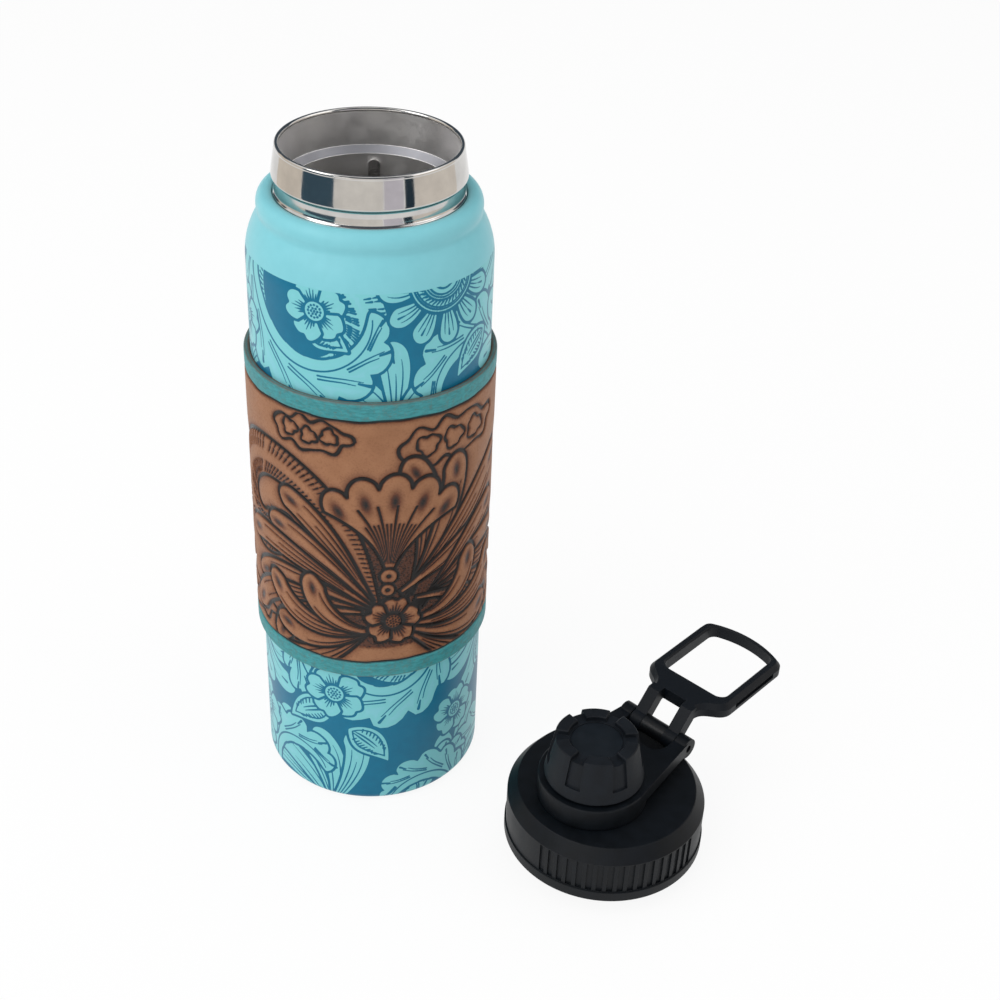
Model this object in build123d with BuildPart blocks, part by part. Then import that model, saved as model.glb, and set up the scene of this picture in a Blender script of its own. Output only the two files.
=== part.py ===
from build123d import *

import os
from math import acos, atan2, cos, degrees, hypot, radians, sin, sqrt, tan

# Insulated steel drinking bottle in a tooled leather sleeve, with its spout lid taken off
# and standing on the table beside it. Millimetres, +Z up. The origin is the centre of the
# bottle's foot, on the table.

# Overall sizes of the bottle
body_radius = 45.0
shoulder_height = 232.0
shell_wall = 0.8
vessel_wall = 0.6
vacuum_gap = 2.5
fitting_gap = 0.05
half_share = 0.5

# Foot of the outer wall
foot_corner = 3.5
foot_lip_width = 3.0

# Shoulder, waist and the bead that the lid lands on, each from the one below
shoulder_radius = 28.0
shoulder_sweep = 33.0
waist_step = 0.43
waist_rise = 0.65
bead_step = 0.45
bead_foot_rise = 2.7
bead_side_rise = 3.5
bead_corner = 2.2

# Bare steel neck, each height from the one below
neck_foot_inset = 0.7
neck_foot_edge = 0.7
neck_foot_lip = 0.9
neck_foot_rise = 3.5
neck_step = 4.25
neck_band_swell = 1.15
neck_band_round = 1.7
neck_groove_swell = 0.55
neck_band_rise = 10.35
neck_wall = 1.05
neck_sweep_share = 0.7
rim_lip = 0.65

# Mouth and throat of the inner wall
mouth_bore_depth = 14.0
ledge_width = 2.65
ledge_drop = 2.5
throat_length = 11.1
vessel_shoulder_length = 20.0
vessel_floor_height = 7.0
vessel_floor_corner = 9.0

# Lugs on the wall of the throat
lug_count = 4
lug_first_angle = 87.0
lug_width = 4.4
lug_height = 9.0
lug_reach = 1.0
lug_top_drop = 2.1

# Base parts
base_disc_wall = 0.6
base_disc_inset = 0.1
base_panel_radius = 18.0
base_panel_rise = 1.6
seal_disc_radius = 7.0
seal_disc_thickness = 0.8
getter_radius = 5.0
getter_height = 2.0

# Leather sleeve and the stitches of its seam
sleeve_bottom_height = 69.7
sleeve_top_drop = 37.2
leather_thickness = 2.4
sleeve_edge_round = 0.5
seam_angle = 90.0
seam_width = 0.5
stitch_pitch = 5.0
stitch_arc = 7.0
stitch_diameter = 0.9
stitch_end_margin = 4.0
stitch_groove_margin_arc = 1.0

# Place of the lid on the table
lid_x = 93.3
lid_y = -70.0
spout_side_angle = 36.0
yoke_angle = 43.3

# Lid cover
plug_reach = 7.5
neck_head_clearance = 2.1
lid_top_wall = 2.4
skirt_clearance = 0.3
skirt_wall = 1.9
rim_band_reach = 0.55
rim_band_height = 4.6
rim_band_round = 0.3
lid_chamfer_height = 5.4
lid_chamfer_width = 3.9
lid_edge_round = 0.5
ceiling_inset = 0.6
grip_groove_count = 17
grip_arc = 100.0
grip_arc_count = 2
grip_first_centre_angle = -88.0
grip_groove_width = 2.4
grip_groove_depth = 0.7
grip_groove_margin = 0.35

# Plug with its flange and boss, and the drinking spout welded into it
flange_thickness = 2.8
flange_clearance = 0.3
plug_clearance = 0.6
plug_shoulder_clearance = 1.05
plug_wall = 2.8
plug_edge_chamfer = 1.0
keyway_depth = 0.8
keyway_clearance = 0.4
boss_wall = 2.6
boss_hole_clearance = 0.1
spout_bore_radius = 11.0
spout_wall = 2.0
spout_rise = 12.1
spout_lip_round = 0.6
spout_side_gap = 4.36
snap_bead_reach = 0.9
snap_bead_height = 0.5
snap_gap = 0.2

# Gasket round the plug
gasket_height = 2.3
gasket_rise = 0.2
gasket_reach = 0.6
gasket_chamfer_share = 0.3

# Swivel collar with its arms and ears
collar_gap = 0.3
collar_wall = 6.05
collar_height = 10.0
collar_bore_clearance = 0.35
collar_bore_chamfer = 0.6
collar_edge_round = 0.6
hinge_reach = 40.4
hinge_drop = 3.3
arm_thickness = 5.8
ear_radius = 4.5
ear_width = 5.3
notch_setback = 4.5
notch_corner = 6.0

# Hinge pin and barrel
pin_radius = 1.6
pin_recess = 1.0
pin_clearance = 0.05
hinge_side_gap = 0.3
barrel_radius = 4.1
barrel_half_length = 5.6

# Carry loop: reaches run outwards from the hinge pin, each from the one before
leg_width = 5.5
leg_angle = 46.0
leg_face_offset = 3.0
leg_back_offset = 2.6
leg_eye_radius = 4.3
crank_rise = 12.7
loop_thickness = 6.0
web_start_margin = 0.9
web_edge_margin = 1.0
web_length = 11.4
web_fall = 1.1
near_bar_width = 2.2
far_bar_width = 2.7
rail_width = 4.6
rail_start_lag = 0.5
window_length = 39.8
window_half_width = 15.8
window_corner = 4.0
loop_far_radius = 42.0
loop_far_corner = 5.5
loop_bevel_height = 1.8
loop_bevel_width = 2.4
window_bevel = 0.7
channel_margin = 3.0
channel_share = 0.735
channel_depth = 1.2
channel_height = 2.2
channel_rise = 1.5

# Spout cap
cap_gap = 0.3
knob_wall = 4.15
knob_taper = 3.1
knob_foot_round = 0.5
knob_deck_wall = 2.2
block_count = 6
block_first_angle = 84.8
block_arc = 40.0
block_width = 5.5
block_height = 2.1
block_chamfer = 0.35
slot_depth = 0.9
slot_share = 0.67
disc_recess_margin = 1.0
disc_recess_depth = 1.0
disc_clearance = 0.15
disc_thickness = 0.8
liner_wall = 1.3
liner_ceiling_wall = 0.8
liner_running_clearance = 1.3
liner_recess = 0.5
liner_fit = 0.15
seal_thickness = 2.0
seal_clearance = 0.1

# How far a cut runs past the face it opens
overrun = 5.0

os.makedirs("parts", exist_ok=True)


def frame_at(x, y, height, angle):
    """A level plane whose local x points at the angle."""
    heading = Vector(cos(radians(angle)), sin(radians(angle)), 0)
    return Plane(origin=(x, y, height), x_dir=heading, z_dir=(0, 0, 1))


def upright(frame, turn=0.0):
    """The upright plane through a frame's axis: local x runs outwards, local y runs up."""
    outwards = frame.x_dir.rotate(Axis.Z, turn)
    return Plane(origin=frame.origin, x_dir=outwards, z_dir=outwards.cross(Vector(0, 0, 1)))


def turning_axis(frame):
    """The upright axis of a frame."""
    return Axis(frame.origin, (0, 0, 1))


def outline(points):
    """Close a line of points into a face of the sketch that is open."""
    with BuildLine() as border:
        Polyline(*points, close=True)
    make_face(border.edges())


def corner_middle(centre, radius, angle):
    """The point of a round corner that lies at the angle about its centre."""
    return centre[0] + radius * cos(radians(angle)), centre[1] + radius * sin(radians(angle))


def part_way(start, end, across_share, up_share):
    """A point between two others, with a share of the way across and one of the way up."""
    return start[0] + (end[0] - start[0]) * across_share, start[1] + (end[1] - start[1]) * up_share


def keep(part, label):
    """Label a finished piece and write it."""
    part.label = label
    export_step(part, f"parts/{label}.step")


# Derived places on the bottle, from its foot up
bottle = frame_at(0, 0, 0, 0)
foot_centre_radius = body_radius - foot_corner
foot_lip_radius = foot_centre_radius - foot_lip_width
shoulder_centre = (body_radius - shoulder_radius, shoulder_height)
shoulder_end = corner_middle(shoulder_centre, shoulder_radius, shoulder_sweep)
waist_radius = shoulder_end[0] - waist_step
waist_height = shoulder_end[1] + waist_rise
bead_radius = waist_radius + bead_step
bead_belly_height = waist_height + bead_foot_rise
bead_flat_height = bead_belly_height + bead_side_rise
bead_flat_radius = bead_radius - bead_corner
bead_top_height = bead_flat_height + bead_corner
neck_foot_radius = bead_flat_radius - neck_foot_inset
neck_rim_radius = neck_foot_radius - neck_step
neck_bore_radius = neck_rim_radius - neck_wall
neck_foot_top = bead_top_height + neck_foot_edge
neck_groove_height = neck_foot_top + neck_foot_rise
neck_band_height = neck_groove_height + neck_band_round
rim_start_height = neck_band_height + neck_band_rise
rim_lip_height = rim_start_height - rim_lip * half_share
mouth_height = rim_start_height + neck_wall
mouth_bore_radius = neck_bore_radius - rim_lip
mouth_ledge_height = mouth_height - mouth_bore_depth
throat_radius = mouth_bore_radius - ledge_width
throat_top_height = mouth_ledge_height - ledge_drop
throat_height = throat_top_height - throat_length
vessel_shoulder_height = throat_height - vessel_shoulder_length
vessel_radius = body_radius - shell_wall - vacuum_gap
lug_top_height = throat_top_height - lug_top_drop
base_panel_height = shell_wall + base_panel_rise
sleeve_inner_radius = body_radius + fitting_gap
sleeve_radius = sleeve_inner_radius + leather_thickness
sleeve_height = shoulder_height - sleeve_top_drop - sleeve_bottom_height

# Derived places on the lid, whose heights run from the skirt's lower edge
lid = frame_at(lid_x, lid_y, plug_reach, 0)
flange_bottom = mouth_height - bead_top_height + neck_head_clearance
lid_ceiling = flange_bottom + flange_thickness
lid_top_height = lid_ceiling + lid_top_wall
chamfer_height = lid_top_height - lid_chamfer_height
skirt_inner_radius = neck_foot_radius + skirt_clearance
skirt_radius = skirt_inner_radius + skirt_wall
rim_band_radius = skirt_radius + rim_band_reach
lid_top_radius = skirt_radius - lid_chamfer_width
ceiling_radius = lid_top_radius - ceiling_inset
flange_radius = ceiling_radius - flange_clearance
plug_radius = throat_radius - plug_clearance
plug_shoulder_radius = mouth_bore_radius - plug_shoulder_clearance
gasket_bottom = mouth_ledge_height - bead_top_height + gasket_rise
gasket_top = gasket_bottom + gasket_height
keyway_top = lug_top_height - bead_top_height + keyway_clearance
spout_outer_radius = spout_bore_radius + spout_wall
spout_offset = plug_radius - plug_wall - spout_side_gap - spout_outer_radius
spout_x = lid_x - spout_offset * cos(radians(spout_side_angle))
spout_y = lid_y - spout_offset * sin(radians(spout_side_angle))
spout = frame_at(spout_x, spout_y, plug_reach, 0)
yoke = frame_at(spout_x, spout_y, plug_reach, yoke_angle)
boss_radius = spout_outer_radius + boss_wall
collar_bottom = lid_top_height + collar_gap
collar_top = collar_bottom + collar_height
collar_bore_radius = boss_radius + collar_bore_clearance
collar_radius = collar_bore_radius + collar_wall
hinge_height = collar_top - hinge_drop
leg_outer = barrel_half_length + leg_width
ear_inner = leg_outer + hinge_side_gap
ear_outer = ear_inner + ear_width
notch_reach = collar_radius + notch_setback
snap_bead_bottom = collar_top + snap_gap
snap_bead_top = snap_bead_bottom + snap_bead_height
spout_top_height = collar_top + spout_rise
knob_bottom = snap_bead_top + cap_gap
seal_top = spout_top_height + seal_thickness
cavity_top = seal_top + liner_ceiling_wall
knob_deck_height = cavity_top + knob_deck_wall
liner_inner_radius = spout_outer_radius + liner_running_clearance
liner_radius = liner_inner_radius + liner_wall
cavity_radius = liner_radius + liner_fit
knob_base_radius = cavity_radius + knob_wall
knob_deck_radius = knob_base_radius - knob_taper
block_inner_radius = knob_deck_radius - block_width
disc_recess_radius = block_inner_radius - disc_recess_margin
slot_bottom_height = knob_deck_height - (knob_deck_height - knob_bottom) * slot_share


def shell_outline(inset, foot_height, top_radius, top_height):
    """Half profile of the outer wall's outside, or of its inside when inset is the wall."""
    side_radius = body_radius - inset
    foot_centre = (foot_centre_radius, foot_corner)
    arc_radius = shoulder_radius - inset
    arc_end = corner_middle(shoulder_centre, arc_radius, shoulder_sweep)
    bead_side = bead_radius - inset
    with BuildLine() as border:
        Line((0, foot_height), (foot_centre_radius, foot_height))
        ThreePointArc((foot_centre_radius, foot_height), corner_middle(foot_centre, foot_corner - inset, -45),
                      (side_radius, foot_corner))
        Line((side_radius, foot_corner), (side_radius, shoulder_height))
        ThreePointArc((side_radius, shoulder_height),
                      corner_middle(shoulder_centre, arc_radius, shoulder_sweep * half_share), arc_end)
        Polyline(arc_end, (waist_radius - inset, waist_height), (bead_side, bead_belly_height),
                 (bead_side, bead_flat_height), (top_radius, top_height), (0, top_height), (0, foot_height))
    make_face(border.edges())


# Outer wall: round foot, straight side, shoulder arc, waist and bead
with BuildPart() as outer_shell:
    with BuildSketch(upright(bottle)):
        shell_outline(0, 0, bead_radius, bead_top_height)
    revolve(axis=turning_axis(bottle))
    bead_edge = outer_shell.edges().filter_by(GeomType.CIRCLE).sort_by(Axis.Z)[-1]
    fillet(bead_edge, bead_corner)
    with BuildSketch(upright(bottle)):
        shell_outline(shell_wall, shell_wall, bead_flat_radius, bead_top_height - shell_wall)
    revolve(axis=turning_axis(bottle), mode=Mode.SUBTRACT)
    with BuildSketch(bottle.offset(-overrun)):
        Circle(foot_lip_radius)
    extrude(amount=overrun + foot_corner, mode=Mode.SUBTRACT)
    with BuildSketch(bottle.offset(bead_flat_height)):
        Circle(neck_bore_radius)
    extrude(amount=overrun, mode=Mode.SUBTRACT)
keep(outer_shell.part, "outer_shell")


# Polished neck: flared foot on the bead, groove, band and rolled rim
with BuildPart() as polished_neck:
    with BuildSketch(upright(bottle)):
        foot_end = (neck_foot_radius - neck_foot_lip, neck_foot_top)
        groove = (neck_rim_radius + neck_groove_swell, neck_groove_height)
        band = (neck_rim_radius + neck_band_swell, neck_band_height)
        rim_outer = (neck_rim_radius, rim_start_height)
        rim_inner = (mouth_bore_radius, rim_start_height)
        rim_middle = (part_way(rim_outer, rim_inner, half_share, half_share)[0], mouth_height)
        with BuildLine():
            Polyline((neck_bore_radius, bead_top_height), (neck_foot_radius, bead_top_height),
                     (neck_foot_radius, neck_foot_top), foot_end)
            ThreePointArc(foot_end, part_way(foot_end, groove, neck_sweep_share, half_share), groove)
            ThreePointArc(groove, (band[0], part_way(groove, band, 0, half_share)[1]), band)
            Line(band, rim_outer)
            ThreePointArc(rim_outer, rim_middle, rim_inner)
            Polyline(rim_inner, (rim_inner[0], rim_lip_height), (neck_bore_radius, rim_lip_height),
                     (neck_bore_radius, bead_top_height))
        make_face()
    revolve(axis=turning_axis(bottle))
keep(polished_neck.part, "polished_neck")


def vessel_outline(inset, top):
    """Half profile of the inner vessel's outside, or of its inside when inset is the wall."""
    side_radius = vessel_radius - inset
    corner = vessel_floor_corner - inset
    floor_height = vessel_floor_height + inset
    corner_centre = (side_radius - corner, floor_height + corner)
    bore = mouth_bore_radius + vessel_wall - inset
    throat = throat_radius + vessel_wall - inset
    with BuildLine() as border:
        Line((0, floor_height), (corner_centre[0], floor_height))
        ThreePointArc((corner_centre[0], floor_height), corner_middle(corner_centre, corner, -45),
                      (side_radius, corner_centre[1]))
        Line((side_radius, corner_centre[1]), (side_radius, vessel_shoulder_height))
        Spline((side_radius, vessel_shoulder_height), (throat, throat_height), tangents=((0, 1), (0, 1)))
        Polyline((throat, throat_height), (throat, throat_top_height), (bore, mouth_ledge_height),
                 (bore, top), (0, top), (0, floor_height))
    make_face(border.edges())


# Inner vessel: deep can with a stepped mouth
with BuildPart() as inner_vessel:
    with BuildSketch(upright(bottle)):
        vessel_outline(0, rim_lip_height)
    revolve(axis=turning_axis(bottle))
    with BuildSketch(upright(bottle)):
        vessel_outline(vessel_wall, rim_lip_height + overrun)
    revolve(axis=turning_axis(bottle), mode=Mode.SUBTRACT)
keep(inner_vessel.part, "inner_vessel")


# Lugs: tabs with round ends, their backs curved to the wall of the throat
with BuildPart() as neck_lugs:
    lug_middle_height = lug_top_height - lug_height * half_share
    for number in range(lug_count):
        facing = frame_at(0, 0, 0, lug_first_angle + number * 360 / lug_count).x_dir
        lug_origin = facing * (throat_radius - lug_reach) + Vector(0, 0, lug_middle_height)
        with BuildSketch(Plane(origin=lug_origin, x_dir=(0, 0, 1), z_dir=facing)):
            SlotOverall(lug_height, lug_width)
        extrude(amount=2 * lug_reach)
    with Locations((0, 0, lug_middle_height)):
        Cylinder(throat_radius, 2 * lug_height, mode=Mode.INTERSECT)
keep(neck_lugs.part, "neck_lugs")


# Base disc with a raised middle panel
with BuildPart() as base_disc:
    with BuildSketch(upright(bottle)):
        panel_foot_radius = base_panel_radius + base_panel_rise
        base_disc_radius = foot_centre_radius - base_disc_inset
        disc_top_height = shell_wall + base_disc_wall
        outline([(0, base_panel_height), (base_panel_radius, base_panel_height),
                 (panel_foot_radius, shell_wall), (base_disc_radius, shell_wall),
                 (base_disc_radius, disc_top_height), (panel_foot_radius, disc_top_height),
                 (base_panel_radius, base_panel_height + base_disc_wall),
                 (0, base_panel_height + base_disc_wall)])
    revolve(axis=turning_axis(bottle))
keep(base_disc.part, "base_disc")


# Small disc under the panel, over the evacuation point
with BuildPart() as vacuum_seal_disc:
    with BuildSketch(bottle.offset(base_panel_height - seal_disc_thickness)):
        Circle(seal_disc_radius)
    extrude(amount=seal_disc_thickness)
keep(vacuum_seal_disc.part, "vacuum_seal_disc")


# Getter pill on top of the panel, in the vacuum
with BuildPart() as getter:
    with BuildSketch(bottle.offset(base_panel_height + base_disc_wall)):
        Circle(getter_radius)
    extrude(amount=getter_height)
keep(getter.part, "getter")


# Leather sleeve: one wrap with a butt seam at the back
with BuildPart() as leather_sleeve:
    with BuildSketch(bottle.offset(sleeve_bottom_height)):
        Circle(sleeve_radius)
        Circle(sleeve_inner_radius, mode=Mode.SUBTRACT)
    extrude(amount=sleeve_height)
    rims = leather_sleeve.edges().filter_by(GeomType.CIRCLE).group_by(SortBy.RADIUS)[-1]
    fillet(rims, sleeve_edge_round)
    with BuildSketch(frame_at(0, 0, sleeve_bottom_height - overrun, seam_angle)):
        with Locations((sleeve_radius, 0)):
            Rectangle(4 * leather_thickness, seam_width)
    extrude(amount=sleeve_height + 2 * overrun, mode=Mode.SUBTRACT)
    groove_floor = sleeve_radius - stitch_diameter - fitting_gap
    groove_arc = stitch_arc + 2 * stitch_groove_margin_arc
    with BuildSketch(upright(bottle, seam_angle - groove_arc * half_share)):
        outline([(groove_floor, sleeve_bottom_height - overrun),
                 (sleeve_radius + overrun, sleeve_bottom_height - overrun),
                 (sleeve_radius + overrun, sleeve_bottom_height + sleeve_height + overrun),
                 (groove_floor, sleeve_bottom_height + sleeve_height + overrun)])
    revolve(axis=turning_axis(bottle), revolution_arc=groove_arc, mode=Mode.SUBTRACT)
keep(leather_sleeve.part, "leather_sleeve")


# Stitches across the seam, laid in its shallow groove and bent to the sleeve
with BuildPart() as seam_thread:
    stitch_run = sleeve_height - 2 * stitch_end_margin
    stitch_count = int(stitch_run / stitch_pitch) + 1
    stitch_radius = sleeve_radius - stitch_diameter * half_share
    stitch_start = upright(bottle, seam_angle - stitch_arc * half_share)
    first_stitch_height = sleeve_bottom_height + stitch_end_margin
    for number in range(stitch_count):
        stitch_height = first_stitch_height + number * stitch_run / (stitch_count - 1)
        with BuildSketch(stitch_start):
            with Locations((stitch_radius, stitch_height)):
                Circle(stitch_diameter * half_share)
        revolve(axis=turning_axis(bottle), revolution_arc=stitch_arc)
keep(seam_thread.part, "seam_thread")


# Lid cover: flat top, wide chamfer, ribbed skirt and plain rim band
with BuildPart() as lid_cover:
    with BuildSketch(upright(lid)):
        outline([(0, 0), (rim_band_radius, 0), (rim_band_radius, rim_band_height),
                 (skirt_radius, rim_band_height), (skirt_radius, chamfer_height),
                 (lid_top_radius, lid_top_height), (0, lid_top_height)])
    revolve(axis=turning_axis(lid))
    band_edges = lid_cover.edges().filter_by(GeomType.CIRCLE).group_by(SortBy.RADIUS)[-1]
    fillet(band_edges, rim_band_round)
    fillet(lid_cover.edges().filter_by(GeomType.CIRCLE).group_by(Axis.Z)[-1], lid_edge_round)
    with BuildSketch(upright(lid)):
        outline([(0, -overrun), (skirt_inner_radius, -overrun),
                 (skirt_inner_radius, chamfer_height - ceiling_inset),
                 (ceiling_radius, lid_ceiling), (0, lid_ceiling)])
    revolve(axis=turning_axis(lid), mode=Mode.SUBTRACT)
    with BuildSketch(spout.offset(lid_ceiling - overrun)):
        Circle(boss_radius + boss_hole_clearance)
    extrude(amount=lid_top_wall + 2 * overrun, mode=Mode.SUBTRACT)
    groove_pitch = grip_arc / grip_groove_count
    groove_span = groove_pitch * (grip_groove_count - 1)
    with BuildSketch(lid.offset(rim_band_height + grip_groove_margin)):
        for arc in range(grip_arc_count):
            arc_centre = grip_first_centre_angle + arc * 360 / grip_arc_count
            with PolarLocations(skirt_radius, grip_groove_count, arc_centre - groove_span * half_share,
                                groove_span, endpoint=True):
                Rectangle(2 * grip_groove_depth, grip_groove_width)
    extrude(amount=chamfer_height - rim_band_height - 2 * grip_groove_margin, mode=Mode.SUBTRACT)
keep(lid_cover.part, "lid_cover")


# Plug with its flange, and the boss that the collar turns on
with BuildPart() as lid_plug:
    with BuildSketch(upright(lid)):
        outline([(0, -plug_reach), (plug_radius - plug_edge_chamfer, -plug_reach),
                 (plug_radius, plug_edge_chamfer - plug_reach), (plug_radius, gasket_top),
                 (plug_shoulder_radius, gasket_top), (plug_shoulder_radius, flange_bottom),
                 (flange_radius, flange_bottom), (flange_radius, lid_ceiling), (0, lid_ceiling)])
    revolve(axis=turning_axis(lid))
    with BuildSketch(lid.offset(-plug_reach - overrun)):
        Circle(plug_radius - plug_wall)
    extrude(amount=plug_reach + overrun + flange_bottom, mode=Mode.SUBTRACT)
    with BuildSketch(lid.offset(-plug_reach - overrun)):
        with PolarLocations(plug_radius, lug_count, lug_first_angle):
            Rectangle(2 * keyway_depth, lug_width + 2 * keyway_clearance)
    extrude(amount=plug_reach + overrun + keyway_top, mode=Mode.SUBTRACT)
    with BuildSketch(upright(spout)):
        outline([(0, flange_bottom), (boss_radius, flange_bottom), (boss_radius, snap_bead_bottom),
                 (boss_radius + snap_bead_reach, snap_bead_bottom),
                 (boss_radius + snap_bead_reach, snap_bead_top), (0, snap_bead_top)])
    revolve(axis=turning_axis(spout))
    with BuildSketch(spout.offset(flange_bottom - overrun)):
        Circle(spout_outer_radius + fitting_gap)
    extrude(amount=snap_bead_top - flange_bottom + 2 * overrun, mode=Mode.SUBTRACT)
keep(lid_plug.part, "lid_plug")


# Drinking spout: a straight tube welded into the flange and its boss
with BuildPart() as drinking_spout:
    with BuildSketch(spout.offset(flange_bottom)):
        Circle(spout_outer_radius)
        Circle(spout_bore_radius, mode=Mode.SUBTRACT)
    extrude(amount=spout_top_height - flange_bottom)
    lip_edges = drinking_spout.edges().filter_by(GeomType.CIRCLE).group_by(Axis.Z)[-1]
    fillet(lip_edges, spout_lip_round)
keep(drinking_spout.part, "drinking_spout")


# Gasket round the plug, under its shoulder
with BuildPart() as lid_gasket:
    with BuildSketch(lid.offset(gasket_bottom)):
        Circle(plug_shoulder_radius + gasket_reach)
        Circle(plug_radius + fitting_gap, mode=Mode.SUBTRACT)
    extrude(amount=gasket_height)
    outer_edges = lid_gasket.edges().filter_by(GeomType.CIRCLE).group_by(SortBy.RADIUS)[-1]
    chamfer(outer_edges, gasket_height * gasket_chamfer_share)
keep(lid_gasket.part, "lid_gasket")


def hinge_plane(side):
    """Upright plane square to the hinge pin, at a distance to the side of the loop's middle."""
    facing = upright(yoke)
    pin_centre = yoke.origin + yoke.x_dir * hinge_reach + Vector(0, 0, hinge_height)
    return Plane(origin=pin_centre + facing.z_dir * side, x_dir=facing.x_dir, z_dir=facing.z_dir)


def upright_edges(part, plane, reach):
    """Upright edges of a part that lie at a reach along the plane."""
    return part.edges().filter_by(Axis.Z).filter_by(
        lambda edge: abs(plane.to_local_coords(edge.center()).X - reach) < fitting_gap)


# Swivel collar: ring round the boss, two arms and the hinge ears
with BuildPart() as swivel_collar:
    with BuildSketch(yoke.offset(collar_bottom)):
        Circle(collar_radius)
    extrude(amount=collar_height)
    fillet(swivel_collar.edges().filter_by(GeomType.CIRCLE), collar_edge_round)
    with BuildSketch(yoke.offset(collar_top - arm_thickness)):
        ear_angle = atan2(ear_outer, hinge_reach)
        touch_angle = degrees(ear_angle + acos(collar_radius / hypot(ear_outer, hinge_reach)))
        touch = corner_middle((0, 0), collar_radius, touch_angle)
        outline([(0, touch[1]), touch, (hinge_reach, ear_outer), (hinge_reach, -ear_outer),
                 (touch[0], -touch[1]), (0, -touch[1])])
    extrude(amount=arm_thickness)
    with BuildSketch(hinge_plane(-ear_outer)):
        Circle(ear_radius)
    extrude(amount=2 * ear_outer)
    notch_length = hinge_reach + ear_radius + overrun - notch_reach
    with BuildSketch(yoke.offset(collar_bottom - overrun)):
        with Locations((notch_reach + notch_length * half_share, 0)):
            Rectangle(notch_length, 2 * ear_inner)
    extrude(amount=collar_height + ear_radius + 2 * overrun, mode=Mode.SUBTRACT)
    fillet(upright_edges(swivel_collar, yoke, notch_reach), notch_corner)
    with BuildSketch(yoke.offset(collar_bottom - overrun)):
        Circle(collar_bore_radius)
    extrude(amount=collar_height + 2 * overrun, mode=Mode.SUBTRACT)
    with BuildSketch(yoke.offset(collar_top - collar_bore_chamfer)):
        Circle(collar_bore_radius)
    extrude(amount=collar_bore_chamfer, taper=-45, mode=Mode.SUBTRACT)
    with BuildSketch(hinge_plane(-ear_outer - overrun)):
        Circle(pin_radius + pin_clearance)
    extrude(amount=2 * (ear_outer + overrun), mode=Mode.SUBTRACT)
keep(swivel_collar.part, "swivel_collar")


# Hinge pin, a little short of the ears' outer faces
with BuildPart() as hinge_pin:
    pin_half_length = ear_outer - pin_recess
    with BuildSketch(hinge_plane(-pin_half_length)):
        Circle(pin_radius)
    extrude(amount=2 * pin_half_length)
keep(hinge_pin.part, "hinge_pin")


# Hinge barrel between the loop's legs
with BuildPart() as hinge_barrel:
    with BuildSketch(hinge_plane(-barrel_half_length)):
        Circle(barrel_radius)
        Circle(pin_radius + pin_clearance, mode=Mode.SUBTRACT)
    extrude(amount=2 * barrel_half_length)
keep(hinge_barrel.part, "hinge_barrel")


# Carry loop: two cranked legs, a flared web and a frame with a channel in each side
lean = radians(leg_angle)
face_start = (-leg_face_offset * sin(lean), leg_face_offset * cos(lean))
back_start = (leg_back_offset * sin(lean), -leg_back_offset * cos(lean))
crank_reach = face_start[0] + (crank_rise - face_start[1]) / tan(lean)
loop_rise = crank_rise - loop_thickness
back_reach = back_start[0] + (loop_rise - back_start[1]) / tan(lean)
web_start_reach = crank_reach + web_start_margin
web_edge_reach = back_reach + web_edge_margin
window_reach = web_edge_reach + web_length
frame_start_reach = window_reach - near_bar_width
loop_side_reach = window_reach + rail_start_lag
loop_half_width = window_half_width + rail_width
window_far_reach = window_reach + window_length
loop_far_reach = window_far_reach + far_bar_width
far_centre = (loop_far_reach - loop_far_radius, 0)
side_end_reach = far_centre[0] + sqrt(loop_far_radius ** 2 - loop_half_width ** 2)
far_middle = part_way((side_end_reach, loop_half_width), (loop_far_reach, 0), half_share, half_share)
far_angle = degrees(atan2(far_middle[1], far_middle[0] - far_centre[0]))
window_far_radius = loop_far_radius - far_bar_width
window_side_end = far_centre[0] + sqrt(window_far_radius ** 2 - window_half_width ** 2)
loop_level = hinge_height + loop_rise
loop_plane = Plane(origin=yoke.origin + yoke.x_dir * hinge_reach + Vector(0, 0, loop_level),
                   x_dir=yoke.x_dir, z_dir=(0, 0, 1))
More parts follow.
